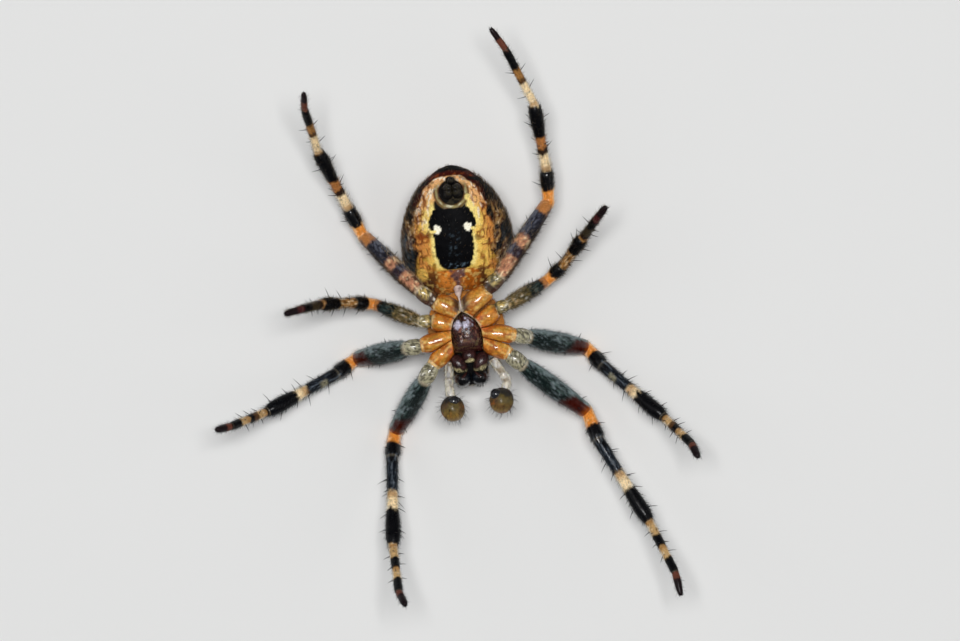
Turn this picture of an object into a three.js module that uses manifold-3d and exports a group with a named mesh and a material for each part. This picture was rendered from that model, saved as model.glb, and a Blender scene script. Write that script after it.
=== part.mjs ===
// Orb weaver spider: a young male garden spider, Araneus diadematus, life size, as it hangs
// spread on its web, laid on its back.
//
// Millimetres. +Z is up, which is the way the belly faces. -Y is forward, to the head. -X is
// the spider's own left. The origin lies on the flat that the abdomen's back rests on, so
// the floor is z = 0, and the body's mirror plane is x = 0. Only the legs and the two palps
// are posed differently on the two sides.

import * as THREE from 'three';
import { mergeVertices } from 'three/addons/utils/BufferGeometryUtils.js';
import Module from 'manifold-3d';

const wasm = await Module();
wasm.setup();

// ---- Driving dimensions -----------------------------------------------------------------

const gap = 0.03; // clearance between two plates that meet
const flatDepth = 0.05; // how much of a round part is pressed flat where it rests
const leastRadius = 0.25; // no limb is modelled thinner than this
const floorSize = 60; // the block below the floor that trims what reaches it

const abdomen = {
  rearY: 3.52,
  length: 5.52,
  halfWidth: 2.3,
  halfDepth: 1.96,
  rearZ: 2.75, // the height of the rear pole
  frontZ: 1.45, // and of the front one, as the back bulges forward over the waist
  widest: 0.6, // the place of the widest section, from the rear
  rings: 15,
  sides: 22,
  rearPower: 0.62, // how blunt the rear end is: 0.5 is an ellipse, and more is more pointed
  frontWidthPower: 3, // the front end in plan: 2 is an ellipse, and more is squarer
  frontDepthPower: 2.4, // and from the side
};

const spinneret = {
  y: 2.42,
  spread: 0.2,
  radius: 0.22,
  tipRadius: 0.1,
  height: 0.42,
  shoulder: 0.18, // the height at which each cone starts to narrow
  lean: 0.35, // how far the cones lean to the rear, for each millimetre up
  moundRadius: 0.56,
  moundTopRadius: 0.45,
  moundHeight: 0.1,
  depth: 0.5, // how far the mound starts below the belly's surface
};

const carapace = {
  edgeZ: 2.78, // the flat underside, on which the coxae and the sternum lie
  thorax: { y: -3.1, halfLength: 1.42, halfWidth: 1.58, height: 1.2 },
  head: { y: -4.3, halfLength: 1.22, halfWidth: 0.74, height: 1.36 },
  thoraxPower: 2.4, // how square the ends are in plan and from the side
  headPower: 5,
  archPower: 0.85, // and how square the arch is from the front
  rings: 13,
  sides: 14,
};

const sternum = {
  rearY: -2.52,
  length: 1.68,
  halfWidth: 0.64,
  topZ: 3.44,
  middle: 0.55, // the place of the dome's top, from the rear
  rimDrop: 0.14, // how far below the top the straight rim ends
  domeDrop: 0.04, // and the dome's upper ring, with its size as a share of the rim's
  domeShare: 0.82,
  sharpness: 4.6, // how fast it widens from the rear point
  frontTaper: 0.1, // how much narrower it is at the front
  lean: 0.135, // how far to the spider's left the rear point lies
  leanFade: 3, // how fast that fades towards the front
  steps: 7,
};

const labium = { y: -4.29, halfWidth: 0.32, halfLength: 0.32, topZ: 3.42 };
const endite = { x: 0.46, y: -4.65, halfWidth: 0.28, halfLength: 0.42, topZ: 3.44 };
const pedicel = { from: [-0.14, -1.3, 2.72], to: [-0.12, -2.5, 3.05], radius: 0.25 };

const chelicera = {
  base: [0.32, -5.18, 2.1],
  tip: [0.36, -5.24, 3.4],
  radii: [0.27, 0.33, 0.34, 0.31, 0.19], // from the face to the tip
  fangRadius: 0.07,
  fangEnd: [0.13, -5.05, 3.4],
};

// The palps: the joint beside the mouth, the elbow, and the swollen end that a young male has.
const palpRadius = leastRadius;
const palpPose = {
  left: { root: [-0.82, -4.5, 3.1], elbow: [-0.95, -5.5, 2.78], bulb: [-0.89, -6.43, 3.0] },
  right: { root: [0.92, -4.55, 3.1], elbow: [1.47, -5.52, 2.85], bulb: [1.14, -6.3, 3.0] },
};
const palpStations = { upper: [0, 0.5], lower: [0.3, 0.7] }; // places before and past the elbow
const palpBulb = { acrossRadius: 0.52, alongRadius: 0.55 };

// Each eye: its place along the head, how far up round the head's arch it sits, in degrees
// from the side, and its radius. The side eyes touch in pairs.
const eyes = {
  front_middle_eye: [{ y: -5.44, up: 66, r: 0.105 }],
  rear_middle_eye: [{ y: -5.16, up: 76, r: 0.1 }],
  side_eyes: [
    { y: -5.4, up: 30, r: 0.08 },
    { y: -5.34, up: 24, r: 0.08 },
  ],
};
const eyeDepth = 0.35; // how deep an eye's centre lies in the head, as a share of its radius

// The legs, numbered from the front. A leg's seven lengths run from the sternum's edge out,
// and its widths are those of each segment's middle.
const segments = ['coxa', 'trochanter', 'femur', 'patella', 'tibia', 'metatarsus', 'tarsus'];
const coxaBaseZ = 3.12;
const coxaRoot = 0.3; // how far the coxae run on inward, to the sternum's side
const legPairs = {
  1: {
    base: [0.8, -3.9],
    lengths: [0.97, 0.74, 3.76, 1.28, 4.05, 2.75, 1.05],
    widths: [0.84, 0.72, 0.84, 0.62, 0.62, 0.5, 0.5],
  },
  2: {
    base: [0.81, -3.51],
    lengths: [1.13, 0.62, 3.6, 1.12, 3.5, 2.45, 0.98],
    widths: [0.88, 0.7, 0.84, 0.6, 0.62, 0.5, 0.5],
  },
  3: {
    base: [0.7, -2.97],
    lengths: [0.72, 0.48, 2.4, 0.95, 1.75, 1.6, 0.82],
    widths: [0.86, 0.58, 0.6, 0.54, 0.54, 0.5, 0.5],
  },
  4: {
    base: [0.27, -2.45],
    lengths: [1.05, 0.76, 3.95, 1.28, 3.0, 2.78, 1.12],
    widths: [1.0, 0.68, 0.74, 0.56, 0.58, 0.5, 0.5],
  },
};
const neckShare = 0.78; // how thick a joint is, as a share of the thinner segment at it
const elbowRadius = 0.3; // the joint between femur and patella, which is the leg's highest

// The pose of each leg: the way each segment heads in plan, in degrees from +X towards +Y,
// and how high above the floor it ends. The elbows of three legs rest on the floor.
const restingElbow = elbowRadius - flatDepth;
const legPose = {
  left_leg_1: {
    headings: [-136, -126, -126, -102, -95, -88, -68],
    heights: [3.15, 3.1, restingElbow, 1, 2.75, 4.8, 5.65],
  },
  left_leg_2: {
    headings: [-168, -177, -174, -149, -157, -164, -173],
    heights: [3.15, 3.15, restingElbow, 0.75, 2.05, 3.95, 4.7],
  },
  left_leg_3: {
    headings: [164, 177, 153, 170, 177, -172, -169],
    heights: [3.15, 3.15, 1.85, 2.4, 3.5, 4.85, 5.25],
  },
  left_leg_4: {
    headings: [154, 137, 130, 112, 112, 101, 85],
    heights: [3.25, 3.35, 1.1, 1.4, 2.75, 4.9, 5.8],
  },
  right_leg_1: {
    headings: [-33, -44, -42, -75, -64, -69, -82],
    heights: [3.15, 3.1, 1.3, 1.8, 2.35, 3.9, 4.15],
  },
  right_leg_2: {
    headings: [-9, -14, -16, -55, -46, -50, -71],
    heights: [3.15, 2.85, restingElbow, 0.8, 2, 3.9, 4.65],
  },
  right_leg_3: {
    headings: [35, 16, 25, 37, 48, 49, 46],
    heights: [3.15, 3.15, 1.65, 1.95, 2.95, 4.25, 4.7],
  },
  right_leg_4: {
    headings: [44, 41, 51, 88, 95, 112, 120],
    heights: [3.25, 3.4, 1.95, 2.2, 3.25, 4.5, 4.75],
  },
};

// How a segment swells between its joints: [place from 0 to 1, share of its half width].
const swelling = {
  coxa: [[0.0, 0.94], [0.35, 1.0], [0.75, 0.94]],
  trochanter: [[0.3, 0.98], [0.7, 1.0]],
  femur: [[0.12, 0.86], [0.36, 1.0], [0.66, 0.94], [0.88, 0.8]],
  patella: [[0.34, 1.0], [0.72, 1.0]],
  tibia: [[0.1, 0.88], [0.42, 0.82], [0.76, 1.04], [0.92, 1.0]],
  metatarsus: [[0.12, 1.0], [0.5, 1.0], [0.88, 1.0]],
  tarsus: [[0.25, 1.0], [0.75, 1.0]],
};

const colours = {
  amber: { color: 0xc98528, roughness: 0.25, metalness: 0 },
  slate: { color: 0x3c443f, roughness: 0.5, metalness: 0 },
  rust: { color: 0xb8672c, roughness: 0.35, metalness: 0 },
  soot: { color: 0x241f1e, roughness: 0.4, metalness: 0 },
  umber: { color: 0x5a4630, roughness: 0.5, metalness: 0 },
  shield: { color: 0x3a2426, roughness: 0.3, metalness: 0 },
  mottled: { color: 0x6b4d2a, roughness: 0.6, metalness: 0 },
  back: { color: 0x7a5a38, roughness: 0.55, metalness: 0 },
  olive: { color: 0x55482c, roughness: 0.45, metalness: 0 },
  pale: { color: 0xc8bd98, roughness: 0.5, metalness: 0 },
  eye: { color: 0x0b0908, roughness: 0.08, metalness: 0 },
};

// ---- Solids -----------------------------------------------------------------------------

// A closed solid from a geometry, for cutting and joining.
function toSolid(geometry) {
  geometry.deleteAttribute('normal');
  geometry.deleteAttribute('uv');
  const merged = mergeVertices(geometry, 1e-5);
  const vertProperties = new Float32Array(merged.attributes.position.array);
  const triVerts = new Uint32Array(merged.index.array);
  return new wasm.Manifold(new wasm.Mesh({ numProp: 3, vertProperties, triVerts }));
}

function toGeometry(solid) {
  const mesh = solid.getMesh();
  const geometry = new THREE.BufferGeometry();
  geometry.setAttribute('position', new THREE.BufferAttribute(mesh.vertProperties, 3));
  geometry.setIndex(new THREE.BufferAttribute(mesh.triVerts, 1));
  return geometry;
}

function minus(solid, ...others) {
  return others.reduce((rest, other) => rest.subtract(other), solid);
}

const floorBlock = new THREE.BoxGeometry(floorSize, floorSize, floorSize);
floorBlock.translate(0, 0, -floorSize / 2);
const belowFloor = toSolid(floorBlock);

// A closed skin over rings of equally many points, with a fan to a tip at each end. A tip
// that isn't given is the middle of its ring.
function loft(rings, firstTip, lastTip) {
  const sides = rings[0].length;
  const points = rings.flat();
  const middle = (ring) => ring.reduce((sum, p) => sum.add(p), new THREE.Vector3())
    .divideScalar(sides);
  points.push(firstTip ?? middle(rings[0]), lastTip ?? middle(rings[rings.length - 1]));
  const firstIndex = points.length - 2;
  const lastIndex = points.length - 1;
  const lastRing = (rings.length - 1) * sides;
  const index = [];
  for (let side = 0; side < sides; side += 1) {
    const next = (side + 1) % sides;
    for (let ring = 0; ring < rings.length - 1; ring += 1) {
      const a = ring * sides + side;
      const b = ring * sides + next;
      index.push(a, b, b + sides, a, b + sides, a + sides);
    }
    index.push(firstIndex, next, side);
    index.push(lastIndex, lastRing + side, lastRing + next);
  }
  const geometry = new THREE.BufferGeometry();
  const positions = points.flatMap((p) => [p.x, p.y, p.z]);
  geometry.setAttribute('position', new THREE.Float32BufferAttribute(positions, 3));
  geometry.setIndex(signedVolume(points, index) < 0 ? index.reverse() : index);
  return toSolid(geometry);
}

function signedVolume(points, index) {
  let volume = 0;
  for (let i = 0; i < index.length; i += 3) {
    const [a, b, c] = [points[index[i]], points[index[i + 1]], points[index[i + 2]]];
    volume += a.dot(b.clone().cross(c)) / 6;
  }
  return volume;
}

// One ring of a limb, round its axis. A ring at a mitre is slid along the axis until it lies
// in the mitre's plane.
function limbRing({ at, along, radius, mitre }, sides) {
  const side = new THREE.Vector3(0, 0, 1).cross(along).normalize();
  const up = along.clone().cross(side);
  const ring = [];
  for (let i = 0; i < sides; i += 1) {
    const angle = (2 * Math.PI * (i + 0.5)) / sides;
    const point = at.clone();
    point.addScaledVector(side, radius * Math.cos(angle));
    point.addScaledVector(up, radius * Math.sin(angle));
    if (mitre) {
      const away = point.clone().sub(mitre.at).dot(mitre.normal);
      point.addScaledVector(along, -away / along.dot(mitre.normal));
    }
    ring.push(point);
  }
  return ring;
}

function limb(stations, sides, grow = 0, lastTip = undefined) {
  const rings = stations.map((s) => limbRing({ ...s, radius: s.radius + grow }, sides));
  return loft(rings, undefined, lastTip);
}

// A rounded lump: a superellipsoid whose long axis is Y. Power 2 is a plain ellipsoid, and
// more is squarer.
function pebble({ at, halfSizes, power = 2, rings = 8, sides = 12, grow = 0 }) {
  const [rx, ry, rz] = halfSizes.map((half) => half + grow);
  const round = (value) => Math.sign(value) * Math.abs(value) ** (2 / power);
  const all = [];
  for (let i = 1; i < rings; i += 1) {
    const latitude = (Math.PI * i) / rings;
    const share = round(Math.sin(latitude));
    const ring = [];
    for (let j = 0; j < sides; j += 1) {
      const angle = (2 * Math.PI * (j + 0.5)) / sides;
      ring.push(new THREE.Vector3(
        at.x + rx * share * round(Math.cos(angle)),
        at.y + ry * round(Math.cos(latitude)),
        at.z + rz * share * round(Math.sin(angle)),
      ));
    }
    all.push(ring);
  }
  const pole = (way) => new THREE.Vector3(at.x, at.y + way * ry, at.z);
  return loft(all, pole(1), pole(-1));
}

const vector = (list) => new THREE.Vector3(...list);
const mirrored = ([x, y, z], side) => new THREE.Vector3(side * x, y, z);
const sides = { left: -1, right: 1 };

// ---- Legs -------------------------------------------------------------------------------

const legName = (side, pair) => `${side}_leg_${pair}`;

// The eight joints of a leg, from the sternum's edge to the claw's end.
function legJoints(side, pair) {
  const { base, lengths } = legPairs[pair];
  const { headings, heights } = legPose[legName(side, pair)];
  const joints = [new THREE.Vector3(sides[side] * base[0], base[1], coxaBaseZ)];
  lengths.forEach((length, i) => {
    const from = joints[i];
    const rise = heights[i] - from.z;
    const run = Math.sqrt(length * length - rise * rise);
    const heading = THREE.MathUtils.degToRad(headings[i]);
    const step = new THREE.Vector3(run * Math.cos(heading), run * Math.sin(heading), rise);
    joints.push(from.clone().add(step));
  });
  return joints;
}

function jointRadius(pair, joint) {
  const { widths } = legPairs[pair];
  if (segments[joint] === 'patella') {
    return elbowRadius;
  }
  const thinner = Math.min(widths[joint - 1], widths[joint]) / 2;
  return Math.max(thinner * neckShare, leastRadius);
}

// The stations of one run of segments, first to last, with mitres at the run's own ends.
function legStations(side, pair, first, last) {
  const joints = legJoints(side, pair);
  const { widths } = legPairs[pair];
  const way = (i) => joints[i + 1].clone().sub(joints[i]).normalize();
  const bisector = (joint) => way(joint - 1).add(way(joint)).normalize();
  const stations = [];
  if (first === 0) {
    const at = joints[0].clone().addScaledVector(way(0), -coxaRoot);
    stations.push({ at, along: way(0), radius: (swelling.coxa[0][1] * widths[0]) / 2 });
  }
  for (let i = first; i <= last; i += 1) {
    const along = way(i);
    if (i > 0) {
      const normal = bisector(i);
      const at = joints[i].clone();
      const radius = jointRadius(pair, i);
      const mitre = { at: at.clone().addScaledVector(normal, gap / 2), normal };
      stations.push(i === first ? { at, along, radius, mitre } : { at, along: normal, radius });
    }
    for (const [place, share] of swelling[segments[i]]) {
      const at = joints[i].clone().lerp(joints[i + 1], place);
      const radius = Math.max((share * widths[i]) / 2, leastRadius);
      stations.push({ at, along, radius });
    }
  }
  if (last < segments.length - 1) {
    const normal = bisector(last + 1);
    const at = joints[last + 1].clone();
    const mitre = { at: at.clone().addScaledVector(normal, -gap / 2), normal };
    stations.push({ at, along: way(last), radius: jointRadius(pair, last + 1), mitre });
  }
  return stations;
}

const hipSegments = [0, 1];
const footSegments = [5, 6];
const clawShare = 0.6; // the thickness of the foot's last ring, as a share of the foot's

function hip(side, pair, grow = 0) {
  return limb(legStations(side, pair, ...hipSegments), 10, grow);
}

function legPiece(side, pair, segment, grow = 0) {
  return minus(limb(legStations(side, pair, segment, segment), 10, grow), belowFloor);
}

function foot(side, pair) {
  const stations = legStations(side, pair, ...footSegments);
  const joints = legJoints(side, pair);
  const tip = joints[joints.length - 1];
  const { along } = stations[stations.length - 1];
  const at = tip.clone().addScaledVector(along, -leastRadius / 3);
  stations.push({ at, along, radius: leastRadius * clawShare });
  return limb(stations, 8, 0, tip);
}

// A slab that stands on the line midway between two coxae and takes what is on one side of it.
function slabBetween(side, pair, neighbour) {
  const [a1, a2] = legJoints(side, pair);
  const [b1, b2] = legJoints(side, neighbour);
  const inner = a1.clone().add(b1).multiplyScalar(0.5);
  const outer = a2.clone().add(b2).multiplyScalar(0.5);
  const line = outer.sub(inner).setZ(0).normalize();
  const across = new THREE.Vector3(-line.y, line.x, 0);
  if (across.dot(b1.clone().sub(inner)) < 0) {
    across.negate();
  }
  const size = 4;
  const slab = new THREE.BoxGeometry(size, size, size);
  slab.rotateZ(Math.atan2(across.y, across.x));
  const middle = inner.clone().addScaledVector(across, size / 2 - gap / 2);
  slab.translate(middle.x, middle.y, middle.z);
  return toSolid(slab);
}

const lastPair = 4;

function coxaSlabs(side, pair) {
  const neighbours = [pair - 1, pair + 1].filter((other) => other >= 1 && other <= lastPair);
  return neighbours.map((other) => slabBetween(side, pair, other));
}

// The plane x = 0 keeps the two rearmost coxae apart.
function farSide(side) {
  const size = 6;
  const block = new THREE.BoxGeometry(size, size * 2, size);
  block.translate(-sides[side] * (size / 2 - gap / 2), 0, size / 2);
  return toSolid(block);
}

// ---- Body -------------------------------------------------------------------------------

// The outline of the abdomen's egg: 0 at either end, 1 at its widest place.
function eggShare(place, frontPower) {
  const { widest, rearPower } = abdomen;
  if (place < widest) {
    return (1 - (1 - place / widest) ** 2) ** rearPower;
  }
  return Math.sqrt(Math.max(0, 1 - ((place - widest) / (1 - widest)) ** frontPower));
}

function abdomenMiddleZ(place) {
  return abdomen.rearZ + (abdomen.frontZ - abdomen.rearZ) * place;
}

function abdomenTop(y) {
  const place = (abdomen.rearY - y) / abdomen.length;
  return abdomenMiddleZ(place) + abdomen.halfDepth * eggShare(place, abdomen.frontDepthPower);
}

function abdomenSolid(grow = 0) {
  const rings = [];
  for (let i = 1; i < abdomen.rings; i += 1) {
    const place = (1 - Math.cos((Math.PI * i) / abdomen.rings)) / 2;
    const y = abdomen.rearY - place * abdomen.length;
    const halfWidth = abdomen.halfWidth * eggShare(place, abdomen.frontWidthPower) + grow;
    const halfDepth = abdomen.halfDepth * eggShare(place, abdomen.frontDepthPower) + grow;
    const ring = [];
    for (let j = 0; j < abdomen.sides; j += 1) {
      const angle = (2 * Math.PI * j) / abdomen.sides;
      const x = halfWidth * Math.cos(angle);
      const z = abdomenMiddleZ(place) + halfDepth * Math.sin(angle);
      ring.push(new THREE.Vector3(x, y, z));
    }
    rings.push(ring);
  }
  const rear = new THREE.Vector3(0, abdomen.rearY + grow, abdomen.rearZ);
  const front = new THREE.Vector3(0, abdomen.rearY - abdomen.length - grow, abdomen.frontZ);
  return minus(loft(rings, rear, front), belowFloor);
}

// Four blunt cones on a low mound, below the abdomen's end.
function spinneretSolid() {
  const base = abdomenTop(spinneret.y) - spinneret.depth;
  const upright = new THREE.Vector3(0, spinneret.lean, 1).normalize();
  const root = new THREE.Vector3(0, spinneret.y, base);
  const ring = (from, distance, radius) => ({
    at: from.clone().addScaledVector(upright, distance),
    along: upright,
    radius,
  });
  const { depth, height, shoulder, radius, tipRadius, spread } = spinneret;
  const { moundRadius, moundTopRadius, moundHeight } = spinneret;
  const mound = [ring(root, 0, moundRadius), ring(root, depth, moundRadius)];
  mound.push(ring(root, depth + moundHeight, moundTopRadius));
  let solid = limb(mound, 12);
  for (const x of [-spread, spread]) {
    for (const y of [-spread, spread]) {
      const from = new THREE.Vector3(root.x + x, root.y + y, root.z);
      const cone = [ring(from, depth / 2, radius), ring(from, depth + shoulder, radius)];
      cone.push(ring(from, depth + height, tipRadius));
      solid = solid.add(limb(cone, 6));
    }
  }
  return minus(solid, abdomenSolid(gap));
}

const sharpMax = (a, b) => (a ** 4 + b ** 4) ** 0.25;

function lobeShare(y, { y: middle, halfLength }, power) {
  return Math.sqrt(Math.max(0, 1 - Math.abs((y - middle) / halfLength) ** power));
}

// A point of the carapace's shell: `angle` runs round its arch from the right side.
function carapacePoint(y, angle, grow = 0) {
  const { thorax, head, thoraxPower, headPower, archPower, edgeZ } = carapace;
  const t = lobeShare(y, thorax, thoraxPower);
  const h = lobeShare(y, head, headPower);
  const halfWidth = sharpMax(thorax.halfWidth * t, head.halfWidth * h) + grow;
  const height = sharpMax(thorax.height * t, head.height * h) + grow;
  const x = halfWidth * Math.cos(angle);
  return new THREE.Vector3(x, y, edgeZ + grow - height * Math.abs(Math.sin(angle)) ** archPower);
}

// The carapace: a broad thorax and a narrower, higher head, one smooth shell with a flat
// underside.
function carapaceSolid(grow = 0) {
  const { thorax, head } = carapace;
  const rearY = thorax.y + thorax.halfLength;
  const frontY = head.y - head.halfLength;
  const rings = [];
  for (let i = 1; i < carapace.rings; i += 1) {
    const place = (1 - Math.cos((Math.PI * i) / carapace.rings)) / 2;
    const y = rearY + (frontY - rearY) * place;
    const ring = [];
    for (let j = 0; j < carapace.sides; j += 1) {
      const angle = (Math.PI * j) / (carapace.sides - 1);
      const point = carapacePoint(y, angle, grow);
      point.y += grow * (1 - 2 * place);
      ring.push(point);
    }
    rings.push(ring);
  }
  return loft(rings);
}

// The sternum: a shield, pointed at the rear, with straight sides and a domed face.
function sternumSolid(grow = 0) {
  const { rearY, length, halfWidth, topZ, middle, sharpness, frontTaper, steps } = sternum;
  const { lean, leanFade } = sternum;
  const outline = [new THREE.Vector2(0, rearY + grow)];
  for (let i = 1; i <= steps; i += 1) {
    const place = i / steps;
    const share = (1 - (1 - place) ** sharpness) * (1 - frontTaper * place ** sharpness);
    const y = rearY - length * place - (i === steps ? grow : 0);
    outline.push(new THREE.Vector2(halfWidth * share + grow, y));
  }
  const otherSide = outline.slice(1).reverse().map((p) => new THREE.Vector2(-p.x, p.y));
  const loop = [...outline, ...otherSide];
  for (const p of loop) {
    const place = THREE.MathUtils.clamp((rearY - p.y) / length, 0, 1);
    p.x -= lean * (1 - place) ** leanFade;
  }
  const middleY = rearY - length * middle;
  const layer = (z, share) => loop.map((p) => (
    new THREE.Vector3(p.x * share, middleY + (p.y - middleY) * share, z)
  ));
  const bottom = carapace.edgeZ + gap;
  const rings = [layer(bottom, 1), layer(topZ - sternum.rimDrop, 1)];
  rings.push(layer(topZ - sternum.domeDrop, sternum.domeShare));
  return loft(rings, undefined, new THREE.Vector3(0, middleY, topZ));
}

// A plate beside or before the mouth: a lump cut off level with the carapace's underside.
const coxaLevel = carapace.edgeZ + gap;
const underBlock = new THREE.BoxGeometry(floorSize, floorSize, floorSize);
underBlock.translate(0, 0, coxaLevel - floorSize / 2);
const underCoxae = toSolid(underBlock);

function mouthPlate(x, { y, halfWidth, halfLength, topZ }, grow = 0) {
  const halfSizes = [halfWidth, halfLength, topZ - coxaLevel];
  const at = new THREE.Vector3(x, y, coxaLevel);
  const lump = pebble({ at, halfSizes, power: 3, rings: 6, sides: 12, grow });
  return minus(lump, underCoxae);
}

function labiumSolid(grow = 0) {
  return mouthPlate(0, labium, grow);
}

function enditeSolid(side, grow = 0) {
  return mouthPlate(sides[side] * endite.x, endite, grow);
}

function tube(from, to, radii, count, grow = 0) {
  const along = to.clone().sub(from).normalize();
  const stations = radii.map((radius, i) => ({
    at: from.clone().lerp(to, i / (radii.length - 1)),
    along,
    radius,
  }));
  return limb(stations, count, grow);
}

// A chelicera: a stout barrel, with its fang folded in across the tip.
function cheliceraSolid(side, grow = 0) {
  const from = mirrored(chelicera.base, sides[side]);
  const to = mirrored(chelicera.tip, sides[side]);
  const barrel = tube(from, to, chelicera.radii, 10, grow);
  const fangEnd = mirrored(chelicera.fangEnd, sides[side]);
  const f = chelicera.fangRadius;
  return barrel.add(tube(to, fangEnd, [f, f, f * 0.5], 6, grow));
}

// A palp's arm: out from beside the mouth, over the elbow and up to the swollen end.
function palpSolid(side, grow = 0) {
  const { root, elbow, bulb } = palpPose[side];
  const [a, b, c] = [vector(root), vector(elbow), vector(bulb)];
  const station = (from, to, share) => ({
    at: from.clone().lerp(to, share),
    along: to.clone().sub(from).normalize(),
    radius: palpRadius,
  });
  const stations = palpStations.upper.map((share) => station(a, b, share));
  stations.push({ at: b, along: c.clone().sub(a).normalize(), radius: palpRadius });
  stations.push(...palpStations.lower.map((share) => station(b, c, share)));
  return limb(stations, 8, grow);
}

function bulbSolid(side, grow = 0) {
  const { acrossRadius, alongRadius } = palpBulb;
  const halfSizes = [acrossRadius, alongRadius, acrossRadius];
  return pebble({ at: vector(palpPose[side].bulb), halfSizes, rings: 8, sides: 12, grow });
}

// An eye is a ball sunk in the head's shell, with its centre inward of the surface.
function eyeSolid(name, side, grow = 0) {
  const heart = new THREE.Vector3(0, carapace.head.y, carapace.edgeZ - carapace.head.height / 2);
  const balls = eyes[name].map(({ y, up, r }) => {
    const surface = carapacePoint(y, THREE.MathUtils.degToRad(up));
    const inward = heart.clone().sub(surface).normalize();
    const middle = surface.addScaledVector(inward, eyeDepth * r);
    const ball = new THREE.IcosahedronGeometry(r + grow, 1);
    ball.translate(sides[side] * middle.x, middle.y, middle.z);
    return toSolid(ball);
  });
  return balls.reduce((all, ball) => all.add(ball));
}

function pedicelSolid(grow = 0) {
  const { from, to, radius } = pedicel;
  return tube(vector(from), vector(to), [radius, radius * 0.8, radius], 8, grow);
}

// ---- Assembly ---------------------------------------------------------------------------

const spider = new THREE.Group();

function place(name, solid, colour) {
  const material = new THREE.MeshStandardMaterial(colours[colour]);
  const mesh = new THREE.Mesh(toGeometry(solid), material);
  mesh.name = name;
  spider.add(mesh);
}

const bothSides = Object.keys(sides);
const pairs = Object.keys(legPairs).map(Number);
const everyHip = (grow) => bothSides.flatMap((side) => (
  pairs.map((pair) => hip(side, pair, grow))
));
const eyeNames = Object.keys(eyes);
const everyEye = bothSides.flatMap((side) => (
  eyeNames.map((name) => eyeSolid(name, side, gap / 3))
));

const bothJaws = bothSides.map((side) => cheliceraSolid(side, gap));
place('carapace', minus(carapaceSolid(), ...everyEye, ...bothJaws), 'back');
place('sternum', sternumSolid().add(labiumSolid()), 'shield');
const shieldSpace = sternumSolid(gap).add(labiumSolid(gap));

const rearFemora = bothSides.map((side) => legPiece(side, lastPair, 2, gap));
const hipSpace = everyHip(gap);
const waistSpace = [pedicelSolid(gap), carapaceSolid(gap)];
place('abdomen', minus(abdomenSolid(), ...rearFemora, ...hipSpace, ...waistSpace), 'mottled');
place('spinnerets', spinneretSolid(), 'soot');
place('pedicel', minus(pedicelSolid(), shieldSpace, carapaceSolid(gap)), 'pale');

for (const side of bothSides) {
  for (const name of eyeNames) {
    place(`${side}_${name}`, eyeSolid(name, side), 'eye');
  }

  const mouthSpace = [shieldSpace, hip(side, 1, gap)];
  place(`${side}_endite`, minus(enditeSolid(side), ...mouthSpace), 'shield');
  const jawSpace = [labiumSolid(gap), enditeSolid(side, gap), farSide(side)];
  place(`${side}_chelicera`, minus(cheliceraSolid(side), ...jawSpace), 'soot');

  const jaw = cheliceraSolid(side, gap);
  const palpSpace = [...mouthSpace, enditeSolid(side, gap), jaw, carapaceSolid(gap)];
  place(`${side}_palp`, minus(palpSolid(side), ...palpSpace, bulbSolid(side, gap)), 'pale');
  place(`${side}_palp_bulb`, bulbSolid(side), 'olive');

  for (const pair of pairs) {
    const name = legName(side, pair);
    const cuts = [shieldSpace, underCoxae, ...coxaSlabs(side, pair)];
    if (pair === lastPair) {
      cuts.push(farSide(side), pedicelSolid(gap));
    }
    place(`${name}_coxa`, minus(hip(side, pair), ...cuts), 'amber');
    place(`${name}_femur`, legPiece(side, pair, 2), 'slate');
    place(`${name}_patella`, legPiece(side, pair, 3), 'rust');
    place(`${name}_tibia`, legPiece(side, pair, 4), 'soot');
    place(`${name}_foot`, foot(side, pair), 'umber');
  }
}

export default spider;
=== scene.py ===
"""Looks of a life-size garden orb weaver spider, a young male, laid on its back.

Lengths in this file are millimetres in the part's own frame, until a mesh is made. +Z is up,
the way the belly faces, -Y is forward, to the head, and -X is the spider's own left.
"""
import math

import bpy
import numpy as np
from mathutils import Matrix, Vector


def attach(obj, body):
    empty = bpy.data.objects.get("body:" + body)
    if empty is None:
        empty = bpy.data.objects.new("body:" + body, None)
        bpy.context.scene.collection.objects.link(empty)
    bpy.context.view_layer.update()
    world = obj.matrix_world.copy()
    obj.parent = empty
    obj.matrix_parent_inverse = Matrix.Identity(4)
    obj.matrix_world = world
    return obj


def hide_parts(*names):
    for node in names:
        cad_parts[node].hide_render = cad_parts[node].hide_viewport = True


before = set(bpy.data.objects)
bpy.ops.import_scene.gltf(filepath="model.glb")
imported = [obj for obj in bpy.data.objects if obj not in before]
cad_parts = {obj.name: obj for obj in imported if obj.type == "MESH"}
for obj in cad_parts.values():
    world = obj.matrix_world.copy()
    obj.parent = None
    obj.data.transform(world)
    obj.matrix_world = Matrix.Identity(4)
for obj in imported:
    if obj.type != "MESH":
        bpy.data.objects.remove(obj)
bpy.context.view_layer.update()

MM = 0.001
TAU = 2 * math.pi
FLOOR_Z = 0.0
rng = np.random.default_rng(20)

# ---- Sizes that the solids have too ------------------------------------------------------

ABDOMEN = dict(rear_y=3.52, length=5.52, half_width=2.3, half_depth=1.96, rear_z=2.75,
               front_z=1.45, widest=0.6, rear_power=0.62, front_width_power=3.0,
               front_depth_power=2.4)
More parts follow.
